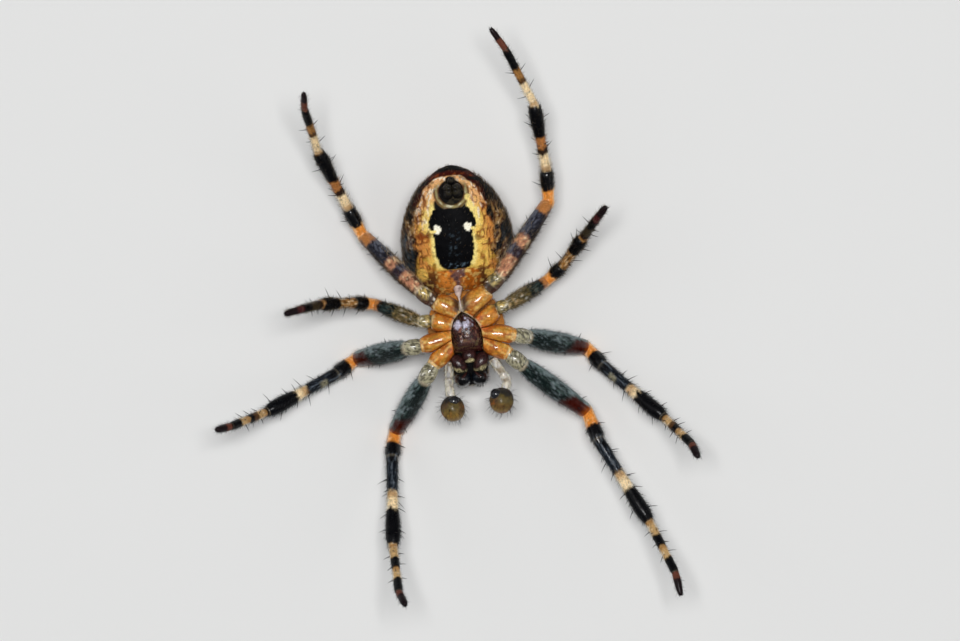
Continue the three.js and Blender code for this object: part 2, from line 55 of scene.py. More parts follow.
# The carapace has two lobes, each with its middle's y, half length, half width and height.
CARAPACE = dict(edge_z=2.78, thorax=(-3.1, 1.42, 1.58, 1.2), head=(-4.3, 1.22, 0.74, 1.36),
                thorax_power=2.4, head_power=5.0, arch_power=0.85)
STERNUM = dict(rear_y=-2.52, length=1.68, half_width=0.64, top_z=3.44, lean=0.135)
CHELICERA = dict(base=(0.32, -5.18, 2.1), tip=(0.36, -5.24, 3.4), fang_end=(0.13, -5.05, 3.4))
PALPS = {
    "left": dict(root=(-0.82, -4.5, 3.1), elbow=(-0.95, -5.5, 2.78), bulb=(-0.89, -6.43, 3.0),
                 knob=(0.08, 0.06, 0.28)),
    "right": dict(root=(0.92, -4.55, 3.1), elbow=(1.47, -5.52, 2.85), bulb=(1.14, -6.3, 3.0),
                  knob=(-0.3, 0.06, 0.28)),
}
BULB = dict(radius=0.495, half_length=0.53)
# Each lens has its y, its angle up the carapace's arch in degrees, and its radius.
EYES = {
    "front_middle_eye": [(-5.44, 66, 0.105)],
    "rear_middle_eye": [(-5.16, 76, 0.1)],
    "side_eyes": [(-5.4, 30, 0.08), (-5.34, 24, 0.08)],
}
EYE_DEPTH = 0.35  # how far a lens's middle lies under the shell, as a share of its radius
SIDES = {"left": -1, "right": 1}

# Legs: where each leaves the sternum, and the lengths and true half widths of its seven
# segments: coxa, trochanter, femur, patella, tibia, metatarsus and tarsus.
COXA_Z = 3.12
COXA_ROOT = 0.3  # how far the coxae run on inward, to the sternum's side
LEG_BASES = {1: (0.8, -3.9), 2: (0.81, -3.51), 3: (0.7, -2.97), 4: (0.27, -2.45)}
LEG_LENGTHS = {
    1: (0.97, 0.74, 3.76, 1.28, 4.05, 2.75, 1.05),
    2: (1.13, 0.62, 3.6, 1.12, 3.5, 2.45, 0.98),
    3: (0.72, 0.48, 2.4, 0.95, 1.75, 1.6, 0.82),
    4: (1.05, 0.76, 3.95, 1.28, 3.0, 2.78, 1.12),
}
HALF_WIDTHS = {
    1: (0.41, 0.35, 0.40, 0.285, 0.285, 0.18, 0.15),
    2: (0.43, 0.34, 0.405, 0.28, 0.29, 0.18, 0.155),
    3: (0.42, 0.28, 0.28, 0.245, 0.245, 0.165, 0.14),
    4: (0.49, 0.33, 0.35, 0.265, 0.265, 0.165, 0.13),
}
# Each leg's pose: the way each segment heads in plan, in degrees, and the height it ends at.
LEG_POSES = {
    ("left", 1): ((-136, -126, -126, -102, -95, -88, -68),
                  (3.15, 3.1, 0.25, 1, 2.75, 4.8, 5.65)),
    ("left", 2): ((-168, -177, -174, -149, -157, -164, -173),
                  (3.15, 3.15, 0.25, 0.75, 2.05, 3.95, 4.7)),
    ("left", 3): ((164, 177, 153, 170, 177, -172, -169),
                  (3.15, 3.15, 1.85, 2.4, 3.5, 4.85, 5.25)),
    ("left", 4): ((154, 137, 130, 112, 112, 101, 85), (3.25, 3.35, 1.1, 1.4, 2.75, 4.9, 5.8)),
    ("right", 1): ((-33, -44, -42, -75, -64, -69, -82), (3.15, 3.1, 1.3, 1.8, 2.35, 3.9, 4.15)),
    ("right", 2): ((-9, -14, -16, -55, -46, -50, -71), (3.15, 2.85, 0.25, 0.8, 2, 3.9, 4.65)),
    ("right", 3): ((35, 16, 25, 37, 48, 49, 46), (3.15, 3.15, 1.65, 1.95, 2.95, 4.25, 4.7)),
    ("right", 4): ((44, 41, 51, 88, 95, 112, 120), (3.25, 3.4, 1.95, 2.2, 3.25, 4.5, 4.75)),
}
KNEE = 3  # the joint between femur and patella
KNEE_RADIUS = 0.26
NECK_SHARE = 0.8  # how thick other joints are, beside the thinner of their two segments
BEND_RADIUS = 0.25  # of the middle line, where the leg bends


# ---- Colours -----------------------------------------------------------------------------

def linear(r, g, b):
    """A colour given as it looks, from 0 to 255, as light."""
    c = np.array([r, g, b]) / 255.0
    return np.where(c <= 0.04045, c / 12.92, ((c + 0.055) / 1.055) ** 2.4)


COLOURS = {name: linear(*rgb) for name, rgb in {
    "amber": (208, 136, 48), "amber_deep": (168, 90, 22), "amber_light": (232, 196, 112),
    "amber_rim": (240, 214, 152), "olive_gold": (150, 126, 40), "coral": (222, 104, 52),
    "socket": (176, 112, 46), "straw": (170, 164, 134), "straw_brown": (52, 46, 32),
    "teal": (12, 26, 25), "teal_light": (92, 112, 108), "teal_pale": (162, 178, 182),
    "slate": (100, 110, 120), "maroon": (60, 14, 6), "rust": (160, 78, 16),
    "orange": (234, 146, 60), "orange_pale": (255, 206, 146), "black": (5, 5, 8),
    "blue_black": (15, 20, 28), "cream": (248, 222, 176), "tan": (200, 164, 112),
    "tan_brown": (164, 116, 62), "tan_orange": (178, 116, 62), "brown": (88, 60, 34),
    "brown_dark": (44, 28, 18), "red_brown": (104, 58, 44), "red_dark": (70, 28, 30),
    "dark_tip": (24, 12, 16), "olive": (104, 92, 54), "olive_dark": (62, 52, 36),
    "pink": (196, 136, 104), "pink_dark": (70, 46, 40), "plum": (50, 36, 46),
    "lilac": (38, 38, 48), "lilac_grey": (116, 120, 134), "shield": (54, 28, 27),
    "shield_brown": (126, 78, 66), "shield_highlight": (204, 200, 220),
    "pale_tip": (226, 212, 160), "palp": (208, 202, 192), "palp_brown": (140, 120, 86),
    "bulb": (88, 74, 34), "bulb_dark": (30, 31, 34), "bulb_front": (132, 102, 46),
    "patch": (2, 2, 4), "cream_white": (255, 250, 228), "yellow": (238, 196, 96),
    "pale_yellow": (250, 226, 138), "band_orange": (212, 134, 66),
    "band_brown": (140, 66, 24), "vein": (70, 30, 14), "pink_orange": (234, 178, 122),
    "ring": (168, 158, 108), "flank": (14, 12, 12), "flank_tan": (172, 132, 78),
    "flank_red": (100, 56, 28), "grey_blue": (96, 116, 130), "epigastric": (96, 72, 74),
    "waist": (216, 194, 184), "back_brown": (122, 84, 50), "back_dark": (50, 34, 24),
    "white": (244, 238, 222), "carapace": (126, 92, 58), "carapace_dark": (54, 38, 28),
    "hair_pale": (196, 194, 180), "hair_dark": (34, 30, 30), "membrane": (206, 190, 160),
}.items()}


def mix(a, b, share):
    """One colour turned into another by a share from 0 to 1, which may differ by point."""
    share = np.clip(share, 0, 1)
    return a + (b - a) * (share[:, None] if np.ndim(share) else share)


class Paint:
    """A colour for each point of a skin, over which others are laid in turn."""

    def __init__(self, first, points):
        """Starts from a named colour, or from the colours of each point."""
        named = isinstance(first, str)
        self.light = np.tile(COLOURS[first], (len(points), 1)) if named else first

    def lay(self, colour, share):
        """Lays on a named colour, or one for each point, by a share from 0 to 1."""
        light = COLOURS[colour] if isinstance(colour, str) else colour
        self.light = mix(self.light, light, share)
        return self.light


# ---- Numbers -----------------------------------------------------------------------------

def smooth(low, high, value):
    """Rises gently from 0 at `low` to 1 at `high`, or falls where `high` is the lesser."""
    t = np.clip((value - low) / (high - low), 0, 1)
    return t * t * (3 - 2 * t)


def between(value, low, high, soft):
    """1 from `low` to `high`, with soft ends, and 0 outside them."""
    return smooth(low - soft, low + soft, value) * (1 - smooth(high - soft, high + soft, value))


def lattice(ix, iy, iz, seed):
    """A fixed chance number from 0 to 1 for each whole-numbered point."""
    h = ix * 374761393 + iy * 668265263 + iz * 1442695041 + seed * 974634777
    h = ((h ^ (h >> 13)) * 1274126177) & 0x7FFFFFFF
    return ((h ^ (h >> 16)) & 0xFFFF) / 65535.0


def noise(points, size, seed):
    """Smooth noise from -1 to 1, with lumps about `size` wide."""
    q = points / size
    base = np.floor(q).astype(np.int64)
    f = q - base
    f = f * f * (3 - 2 * f)
    total = np.zeros(len(points))
    for corner in range(8):
        step = np.array([corner & 1, corner >> 1 & 1, corner >> 2 & 1])
        weight = np.prod(np.where(step, f, 1 - f), axis=1)
        total += weight * lattice(*(base + step).T, seed)
    return total * 2 - 1


def fractal(points, size, seed):
    """Noise with finer lumps on its lumps."""
    total, weight = 0, 0
    for octave in range(3):
        share = 0.6 ** octave
        total = total + share * noise(points, size * 0.5 ** octave, seed + octave)
        weight += share
    return total / weight


def unit(v):
    return v / np.maximum(np.linalg.norm(v, axis=-1, keepdims=True), 1e-12)


def dot(a, b):
    return np.sum(a * b, axis=-1)


# ---- Meshes ------------------------------------------------------------------------------

def normals_of(points, quads, tris):
    total = np.zeros_like(points)
    for faces in (quads, tris):
        if len(faces):
            a, b, c = points[faces[:, 0]], points[faces[:, 1]], points[faces[:, -1]]
            facing = np.cross(b - a, c - a)
            for corner in range(faces.shape[1]):
                np.add.at(total, faces[:, corner], facing)
    return unit(total)


UV_MARGIN = 0.02  # the empty edge of each skin's unwrap


def drawn_in(uv):
    """Places on an unwrap, drawn in from its edges."""
    return UV_MARGIN + (1 - 2 * UV_MARGIN) * uv


def closed_loft(rings, rows_v, start=None, end=None):
    """A closed skin over rings of points (rows x sides x 3), with a fan at each end. `rows_v`
    says how far up the unwrap each ring lies."""
    rows, sides = rings.shape[:2]
    first = rings[0].mean(axis=0) if start is None else start
    last = rings[-1].mean(axis=0) if end is None else end
    points = np.vstack([rings.reshape(-1, 3), first, last])
    i, j = (index.ravel() for index in np.mgrid[:rows - 1, :sides])
    k = (j + 1) % sides
    at, above = i * sides, (i + 1) * sides
    quads = np.stack([at + j, at + k, above + k, above + j], axis=1)
    quad_uv = np.stack([np.stack([j, j + 1, j + 1, j], axis=1) / sides,
                        rows_v[np.stack([i, i, i + 1, i + 1], axis=1)]], axis=-1)
    j = np.arange(sides)
    k = (j + 1) % sides
    foot = (rows - 1) * sides
    tris = np.vstack([np.stack([np.full(sides, len(points) - 2), k, j], axis=1),
                      np.stack([np.full(sides, len(points) - 1), foot + j, foot + k], axis=1)])
    tri_u = np.vstack([np.stack([j + 0.5, j + 1, j], axis=1),
                       np.stack([j + 0.5, j, j + 1], axis=1)]) / sides
    tri_v = np.vstack([np.tile([0.0, rows_v[0], rows_v[0]], (sides, 1)),
                       np.tile([1.0, rows_v[-1], rows_v[-1]], (sides, 1))])
    faces = dict(quads=quads, tris=tris, quad_uv=drawn_in(quad_uv),
                 tri_uv=drawn_in(np.stack([tri_u, tri_v], axis=-1)))
    a, b, c = (points[tris[:, n]] for n in range(3))
    p, q, r, s = (points[quads[:, n]] for n in range(4))
    volume = np.sum(dot(a, np.cross(b, c))) + np.sum(dot(p, np.cross(q, r)))
    volume += np.sum(dot(p, np.cross(r, s)))
    if volume < 0:
        faces = {key: value[:, ::-1] for key, value in faces.items()}
    return dict(faces, points=points, normals=normals_of(points, faces["quads"], faces["tris"]))


def joined(skins):
    """Several skins as one."""
    out, offset = {}, 0
    for skin in skins:
        for key, value in skin.items():
            shifted = value + offset if key in ("quads", "tris") else value
            out.setdefault(key, []).append(shifted)
        offset += len(skin["points"])
    return {key: np.concatenate(parts) for key, parts in out.items()}


def make_piece(name, skin, materials, replaces=(), face_material=None):
    """A mesh object from a skin, riding with the one body."""
    mesh = bpy.data.meshes.new(name)
    quads, tris = skin["quads"], skin["tris"]
    mesh.vertices.add(len(skin["points"]))
    mesh.vertices.foreach_set("co", (skin["points"] * MM).ravel())
    corners = np.concatenate([quads.ravel(), tris.ravel()])
    mesh.loops.add(len(corners))
    mesh.loops.foreach_set("vertex_index", corners.astype(np.int32))
    mesh.polygons.add(len(quads) + len(tris))
    starts = np.concatenate([np.arange(len(quads)) * 4, quads.size + np.arange(len(tris)) * 3])
    mesh.polygons.foreach_set("loop_start", starts.astype(np.int32))
    mesh.polygons.foreach_set("use_smooth", np.ones(len(starts), dtype=bool))
    if face_material is not None:
        mesh.polygons.foreach_set("material_index", face_material.astype(np.int32))
    unwrap = mesh.uv_layers.new(name="OFBake")
    uv = np.concatenate([skin["quad_uv"].reshape(-1, 2), skin["tri_uv"].reshape(-1, 2)])
    unwrap.data.foreach_set("uv", uv.ravel())
    marking = mesh.attributes.new("Marking", "FLOAT_COLOR", "POINT")
    colour = np.clip(skin["colour"], 0, 1)
    rgba = np.concatenate([colour, np.ones((len(colour), 1))], axis=1)
    marking.data.foreach_set("color", rgba.ravel())
    if "rough" in skin:
        rough = mesh.attributes.new("Rough", "FLOAT", "POINT")
        rough.data.foreach_set("value", np.clip(skin["rough"], 0, 1))
    mesh.update()
    mesh.validate()
    for material in materials:
        mesh.materials.append(material)
    piece = bpy.data.objects.new(name, mesh)
    bpy.context.scene.collection.objects.link(piece)
    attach(piece, "root")
    if replaces:
        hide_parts(*replaces)


def tube_rings(centres, tangents, radii, sides, reference=(0, 0, 1)):
    """Rings round a path, and the way each of their points lies from it. A ring starts on the
    side away from `reference`."""
    side = unit(np.cross(reference, tangents))
    up = np.cross(tangents, side)
    angle = TAU * np.arange(sides) / sides - math.pi / 2
    around = (side[:, None, :] * np.cos(angle)[None, :, None]
              + up[:, None, :] * np.sin(angle)[None, :, None])
    return centres[:, None, :] + around * np.asarray(radii)[:, None, None], around


def along_path(points):
    """How far along the path each point lies, from 0 to 1."""
    steps = np.linalg.norm(np.diff(points, axis=0), axis=1)
    total = np.concatenate([[0], np.cumsum(steps)])
    return total / total[-1]


def ball_skin(middle, ahead, radius, rows, sides, reference=(0, 0, 1)):
    """A ball whose poles lie on the line through its middle that heads `ahead`."""
    latitude = np.linspace(0.06, math.pi - 0.06, rows)
    centres = middle - ahead * (radius * np.cos(latitude))[:, None]
    rings, _ = tube_rings(centres, np.tile(ahead, (rows, 1)), radius * np.sin(latitude), sides,
                          reference)
    pole = ahead * radius
    return closed_loft(rings, latitude / math.pi, middle - pole, middle + pole)


# ---- Materials ---------------------------------------------------------------------------

def new_material(name):
    material = bpy.data.materials.new(name)
    material.use_nodes = True
    return material, material.node_tree.nodes["Principled BSDF"]


def set_sockets(node, **values):
    """Sets a node's plain values. An underscore stands for each space in a socket's name."""
    for socket, value in values.items():
        node.inputs[socket.replace("_", " ")].default_value = value


def shell_material(name, grain_mm, grain_depth_mm, mottle_mm, mottle, rough=None, coat=0.0,
                   specular=0.5, subsurface=0.0, subsurface_mm=0.2, tint=(1.0, 0.4, 0.1),
                   coat_rough=0.12):
    """Cuticle: its markings come from the mesh, with fine mottling and grain over them."""
    material, shader = new_material(name)
    nodes, links = material.node_tree.nodes, material.node_tree.links

    def attribute(attribute_name):
        node = nodes.new("ShaderNodeAttribute")
        node.attribute_name = attribute_name
        return node.outputs

    def lumps(size_mm, detail):
        node = nodes.new("ShaderNodeTexNoise")
        set_sockets(node, Scale=1 / (size_mm * MM), Detail=detail)
        links.new(where.outputs["Object"], node.inputs["Vector"])
        return node.outputs["Fac"]

    where = nodes.new("ShaderNodeTexCoord")
    marking = attribute("Marking")["Color"]
    mottling = lumps(mottle_mm, 3)
    spread = nodes.new("ShaderNodeMapRange")
    set_sockets(spread, From_Min=0.3, From_Max=0.7, To_Min=1 - mottle, To_Max=1 + mottle)
    links.new(mottling, spread.inputs["Value"])
    shade = nodes.new("ShaderNodeVectorMath")
    shade.operation = "SCALE"
    links.new(marking, shade.inputs[0])
    links.new(spread.outputs["Result"], shade.inputs["Scale"])
    links.new(shade.outputs["Vector"], shader.inputs["Base Color"])
    grain = lumps(grain_mm, 2)
    bump = nodes.new("ShaderNodeBump")
    set_sockets(bump, Strength=1.0, Distance=grain_depth_mm * MM)
    links.new(grain, bump.inputs["Height"])
    links.new(bump.outputs["Normal"], shader.inputs["Normal"])
    if rough is None:
        links.new(attribute("Rough")["Fac"], shader.inputs["Roughness"])
    else:
        set_sockets(shader, Roughness=rough)
    set_sockets(shader, Specular_IOR_Level=specular, Coat_Weight=coat,
                Coat_Roughness=coat_rough)
    if subsurface:
        set_sockets(shader, Subsurface_Weight=subsurface, Subsurface_Radius=tint,
                    Subsurface_Scale=subsurface_mm * MM)
    return material


LEG_SHELL = shell_material("leg_shell", 0.05, 0.006, 0.07, 0.3, coat=0.12, specular=0.1)
KNEE_SHELL = shell_material("knee_shell", 0.06, 0.004, 0.07, 0.2, rough=0.3, coat=0.5,
                            specular=0.12)
AMBER_SHELL = shell_material("amber_shell", 0.12, 0.009, 0.1, 0.3, rough=0.4, coat=0.9,
                             specular=0.2, subsurface=0.3, tint=(1.0, 0.6, 0.25),
                             coat_rough=0.06)
RING_SHELL = shell_material("trochanter_shell", 0.07, 0.022, 0.07, 0.3, rough=0.3, coat=0.8,
                            specular=0.3, coat_rough=0.08)
SKIN = shell_material("abdomen_skin", 0.045, 0.014, 0.05, 0.24, specular=0.07)
SHIELD_SHELL = shell_material("shield_shell", 0.07, 0.015, 0.09, 0.4, rough=0.34, coat=0.2,
                              specular=0.12)
BLACK_SHELL = shell_material("jaw_shell", 0.06, 0.008, 0.12, 0.3, rough=0.22, coat=0.6,
                             specular=0.2)
SPINNERET_SHELL = shell_material("spinneret_shell", 0.05, 0.01, 0.06, 0.4, rough=0.5, coat=0.08,
                                 specular=0.15)
PALE_SHELL = shell_material("palp_shell", 0.06, 0.008, 0.15, 0.12, rough=0.28, coat=0.4,
                            subsurface=0.5, subsurface_mm=0.25, tint=(1.0, 0.85, 0.6))
BULB_SHELL = shell_material("bulb_shell", 0.07, 0.012, 0.12, 0.3, rough=0.42, coat=0.14,
                            specular=0.3)
KNOB_SHELL = shell_material("knob_shell", 0.07, 0.006, 0.12, 0.3, rough=0.22, coat=0.7,
                            specular=0.3)
BACK_SHELL = shell_material("carapace_shell", 0.06, 0.015, 0.12, 0.3, specular=0.3)
EYE_LENS = shell_material("eye_lens", 0.05, 0.001, 0.08, 0.2, rough=0.05, coat=1.0)
HAIR = shell_material("hair", 0.03, 0.001, 0.03, 0.15, rough=0.6, specular=0.12)
SPINE = shell_material("spine", 0.03, 0.001, 0.05, 0.15, rough=0.35, specular=0.25)


# ---- Hairs -------------------------------------------------------------------------------

HAIR_PATCH = 0.003  # how wide a hair's patch of the unwrap is


FACE_VALUES = ("quads", "tris", "quad_uv", "tri_uv")


def scatter(skin, count):
    """Chance points on a skin, with its values there. They stand evenly over its area, or by
    how hairy it is, where it says so."""
    quads, points = skin["quads"], skin["points"]
    a, b, c, d = (points[quads[:, n]] for n in range(4))
    area = np.linalg.norm(np.cross(c - a, d - b), axis=1) / 2
    if "hairy" in skin:
        area = area * skin["hairy"][quads].mean(axis=1)
    face = rng.choice(len(quads), size=count, p=area / area.sum())
    s, t = rng.random(count)[:, None], rng.random(count)[:, None]

    def blend(corners):
        values = corners.reshape(count, 4, -1)
        return ((values[:, 0] * (1 - s) + values[:, 1] * s) * (1 - t)
                + (values[:, 3] * (1 - s) + values[:, 2] * s) * t).squeeze()

    picked = {key: blend(skin[key][quads[face]]) for key in skin if key not in FACE_VALUES}
    picked["uv"] = blend(skin["quad_uv"][face])
    picked["normals"] = unit(picked["normals"])
    return picked


def hairs(root, normal, lie, length, width, lift, curl, uv, colour, rings=2):
    """Tapered hairs. Each leaves the skin at `lift` and bends by `curl` towards its lie."""
    count = len(root)
    lie = unit(lie - normal * dot(lie, normal)[:, None])
    side = np.cross(normal, lie)
    at = root - normal * 0.01
    rows, lifts = [], np.broadcast_to(lift, (count,)).astype(float)
    step = (np.broadcast_to(length, (count,)) / rings)[:, None]
    corner = TAU * np.arange(3) / 3
    for ring in range(rings):
        way = lie * np.cos(lifts)[:, None] + normal * np.sin(lifts)[:, None]
        up = np.cross(way, side)
        thick = np.broadcast_to(width, (count,)) / 2 * (1 - 0.75 * ring / rings)
        around = (side[:, None] * np.cos(corner)[None, :, None]
                  + up[:, None] * np.sin(corner)[None, :, None])
        rows.append(at[:, None] + around * thick[:, None, None])
        at = at + way * step
        lifts = lifts - np.broadcast_to(curl, (count,)) / rings
    points = np.concatenate([np.concatenate(rows, axis=1), at[:, None]], axis=1)
    points[..., 2] = np.maximum(points[..., 2], FLOOR_Z + 0.004)
    per = rings * 3 + 1
    start = (np.arange(count) * per)[:, None, None]
    edges = ((0, 1), (1, 2), (2, 0))
    quads = [[at + j, at + k, at + 3 + k, at + 3 + j]
             for at in range(0, 3 * rings - 3, 3) for j, k in edges]
    tris = [[2, 1, 0]] + [[per - 4 + j, per - 4 + k, per - 1] for j, k in edges]
    places = [(j / 2 - 0.5, ring / rings - 0.5) for ring in range(rings) for j in range(3)]
    places = np.array(places + [(0.0, 0.5)]) * HAIR_PATCH
    quads = np.array(quads, dtype=int).reshape(-1, 4)
    tris = np.array(tris)
    uv = np.clip(uv, HAIR_PATCH, 1 - HAIR_PATCH)
    return dict(points=points.reshape(-1, 3),
                quads=(start + quads[None]).reshape(-1, 4),
                tris=(start + tris[None]).reshape(-1, 3),
                quad_uv=(uv[:, None, None] + places[quads][None]).reshape(-1, 4, 2),
                tri_uv=(uv[:, None, None] + places[tris][None]).reshape(-1, 3, 2),
                colour=np.repeat(colour, per, axis=0))


# ---- Legs --------------------------------------------------------------------------------

def leg_joints(side, pair):
    """The ends of a leg's segments, from the body outward."""
    headings, heights = LEG_POSES[side, pair]
    x, y = LEG_BASES[pair]
    joints = [np.array([SIDES[side] * x, y, COXA_Z])]
    for length, heading, height in zip(LEG_LENGTHS[pair], headings, heights):
        rise = height - joints[-1][2]
        run = math.sqrt(length ** 2 - rise ** 2)
        turn = math.radians(heading)
        joints.append(joints[-1] + [run * math.cos(turn), run * math.sin(turn), rise])
    return np.array(joints)


ARC_STEPS = 6  # how many steps a path takes round each joint


def leg_path(joints, step=0.055, root=0.0):
    """The leg's middle line with rounded joints: points, directions, and places. A place is
    the segment's number plus how far along it the point lies. The line starts `root` before
    the first joint."""
    ways = np.diff(joints, axis=0)
    lengths = np.linalg.norm(ways, axis=1)
    ways = ways / lengths[:, None]
    cut = [-root]
    for i in range(1, len(ways)):
        half = math.acos(np.clip(ways[i - 1] @ ways[i], -1, 1)) / 2
        cut.append(min(BEND_RADIUS * math.tan(half) + 0.02, 0.4 * lengths[i - 1],
                       0.4 * lengths[i]))
    cut.append(0.0)
    centres, tangents, places = [], [], []
    for i, way in enumerate(ways):
        start, stop = cut[i], lengths[i] - cut[i + 1]
        count = max(3, int((stop - start) / step))
        for s in np.linspace(start, stop, count):
            centres.append(joints[i] + way * s)
            tangents.append(way)
            places.append(i + s / lengths[i])
        if i + 1 < len(ways):
            joint = joints[i + 1]
            before, after = joint - way * cut[i + 1], joint + ways[i + 1] * cut[i + 1]
            for u in np.arange(1, ARC_STEPS) / ARC_STEPS:
                centres.append(before * (1 - u) ** 2 + joint * 2 * u * (1 - u) + after * u ** 2)
                tangents.append(way * (1 - u) + ways[i + 1] * u)
                off = cut[i + 1] * (2 * u - 1)
                places.append(i + 1 + off / (lengths[i] if u < 0.5 else lengths[i + 1]))
    return np.array(centres), unit(np.array(tangents)), np.array(places)


# How each segment swells between its joints: place from 0 to 1, share of the half width.
SWELLING = [
    [(-0.2, 0.74), (0.0, 0.87), (0.2, 0.96), (0.4, 1.0), (0.6, 0.97), (0.8, 0.88),
     (0.93, 0.77)],
    [(0.1, 0.86), (0.3, 0.98), (0.6, 1.0), (0.85, 0.95), (0.95, 0.86)],
    [(0.02, 0.76), (0.1, 0.88), (0.22, 0.97), (0.4, 1.0), (0.65, 0.96), (0.85, 0.86),
     (0.95, 0.82), (0.985, 0.8)],
    [(0.04, 0.9), (0.25, 0.94), (0.55, 1.02), (0.8, 1.07), (0.95, 1.0)],
    [(0.015, 0.84), (0.06, 0.84), (0.25, 0.77), (0.42, 0.75), (0.6, 0.88), (0.78, 1.05),
     (0.9, 1.04), (0.985, 0.82)],
    [(0.02, 0.95), (0.1, 1.06), (0.5, 0.94), (0.9, 0.96), (0.98, 1.0)],
    [(0.04, 1.0), (0.3, 1.03), (0.7, 0.94), (0.9, 0.8), (1.0, 0.5)],
]


def leg_radii(pair, places):
    """The leg's radius at each place, swollen in each segment and narrow at the joints."""
    widths = HALF_WIDTHS[pair]
    table = [(-0.5, 0.8 * widths[0])]
    for i, profile in enumerate(SWELLING):
        table += [(i + place, share * widths[i]) for place, share in profile]
        if i + 1 < len(widths):
            neck = NECK_SHARE * min(widths[i], widths[i + 1])
            table.append((i + 1, KNEE_RADIUS if i + 1 == KNEE else neck))
    at, radius = np.array(table).T
    step, reach = 0.01, 5  # each radius is averaged with those near it, to round the profile
    fine = np.arange(-0.6, 7.1, step)
    padded = np.pad(np.interp(fine, at, radius), reach, mode="edge")
    soft = np.convolve(padded, np.ones(2 * reach + 1) / (2 * reach + 1), "valid")
    return np.interp(places, fine, soft)


def sternum_half(y):
    """Half the sternum's width at each y."""
    place = np.clip((STERNUM["rear_y"] - y) / STERNUM["length"], 0, 1)
    share = (1 - (1 - place) ** 4.6) * (1 - 0.1 * place ** 4.6)
    return STERNUM["half_width"] * share * (place < 1)


def sternum_middle(y):
    """The x of the sternum's middle line, whose rear end lies to the left."""
    place = np.clip((STERNUM["rear_y"] - y) / STERNUM["length"], 0, 1)
    return -STERNUM["lean"] * (1 - place) ** 3


def press_coxae(points, places, side, pair):
    """Presses a coxa flat against the sternum and against its neighbours, half way between
    their middle lines."""
    a = leg_joints(side, pair)
    near = smooth(1.5, 1.0, places)
    for other in (pair - 1, pair + 1):
        if other not in LEG_BASES:
            continue
        b = leg_joints(side, other)
        inner, outer = (a[0] + b[0]) / 2, (a[1] + b[1]) / 2
        line = unit((outer - inner) * [1, 1, 0])
        across = np.array([-line[1], line[0], 0])
        if across @ (b[0] - inner) < 0:
            across = -across
        past = np.maximum((points - inner) @ across + 0.012, 0) * near
        points = points - across * past[:, None]
    clear = 0.02 + np.where(points[:, 1] < STERNUM["rear_y"], sternum_half(points[:, 1]), 0)
    if pair == 4:
        points[:, 0] += sternum_middle(points[:, 1]) * smooth(0.9, 0.1, places)
    beside = (points[:, 0] - sternum_middle(points[:, 1])) * SIDES[side]
    points[:, 0] += np.maximum(clear - beside, 0) * (places < 1) * SIDES[side]
    return points


# Each band of colour starts at its place along the leg and runs to the next one's.
BANDS = {
    1: [(0, "amber"), (1.03, "straw"), (1.97, "teal"), (2.97, "orange"), (3.54, "black"),
        (4.1, "blue_black"), (4.4, "cream"), (4.59, "black"), (5.0, "tan"),
        (5.28, "black"), (5.5, "tan"), (5.73, "black"), (6.02, "red_brown"), (6.3, "dark_tip")],
    2: [(0, "amber"), (1.03, "straw"), (1.97, "teal"), (2.97, "orange"), (3.45, "black"),
        (4.1, "blue_black"), (4.44, "cream"), (4.575, "black"), (5.07, "tan"),
        (5.3, "brown"), (5.4, "black"), (5.54, "tan"), (5.75, "black"), (6.06, "red_brown"),
        (6.4, "dark_tip")],
    3: [(0, "amber"), (1.03, "straw"), (1.97, "olive"), (2.5, "teal"), (2.8, "brown_dark"),
        (2.86, "tan_orange"), (3.0, "orange"), (3.42, "black"), (4.02, "tan_brown"),
        (4.5, "black"), (4.98, "tan_brown"), (5.1, "brown_dark"), (5.24, "olive_dark"),
        (5.58, "black"), (5.95, "red_dark"), (6.27, "dark_tip")],
    4: [(0, "amber"), (1.03, "straw"), (1.97, "pink"), (2.24, "plum"), (2.38, "pink"),
        (2.5, "lilac"), (2.83, "tan_orange"), (2.985, "orange"), (3.37, "black"),
        (4.02, "cream"), (4.26, "brown_dark"), (4.35, "tan_orange"), (4.5, "black"),
        (4.98, "cream"), (5.38, "brown"), (5.46, "tan_brown"), (5.64, "black"),
        (6.0, "red_brown"), (6.5, "dark_tip")],
}


def coxa_colours(pair, points, normals, places, across, along):
    """Amber, clouded and streaked, with orange-red sides and pale rims. Painted light makes its
    upturned face paler, and painted shade darkens its sides where the coxae meet.
    """
    sides = np.abs(across)
    paint = Paint("amber", points)
    paint.lay("amber_deep", smooth(-0.25, 0.3, noise(points, 0.26, 6)) * 0.9)
    paint.lay("olive_gold", smooth(0.0, 0.45, noise(along, 0.2, 14)) * 0.55)
    # Painted light: pale amber streaks laid on where the coxa faces up, towards the light.
    paint.lay("amber_light", smooth(-0.1, 0.8, normals[:, 2])
              * smooth(0.0, 0.35, fractal(along, 0.09, 16)) * 0.8)
    paint.lay("coral", between(sides, 0.4, 0.7, 0.1)
              * smooth(0.0, 0.35, noise(along, 0.22, 15)) * 0.7)
    # Painted shade: the sides, pressed against the next coxae, darken to deep amber and brown.
    paint.lay("amber_deep", smooth(0.62, 0.9, sides) * 0.75)
    paint.lay("band_brown", smooth(0.84, 0.99, sides) * 0.6)
    rim = between(places + 0.03 * noise(points, 0.1, 17), 0.93, 1.1, 0.025)
    paint.lay("amber_rim", rim * smooth(-0.35, 0.25, noise(points, 0.14, 18)) * 0.8)
    beside = np.abs(points[:, 0] - sternum_middle(points[:, 1])) - sternum_half(points[:, 1])
    behind = points[:, 1] > STERNUM["rear_y"]
    # Painted shade: the hind coxae darken to brown beside each other, behind the sternum.
    if pair == 4:
        paint.lay("brown_dark", behind * smooth(0.44, 0.16, beside) * 0.9)
    edge = smooth(0.1, 0.04, beside) * smooth(-3.5, -2.9, points[:, 1])
    return paint.lay("membrane", edge * 0.9)


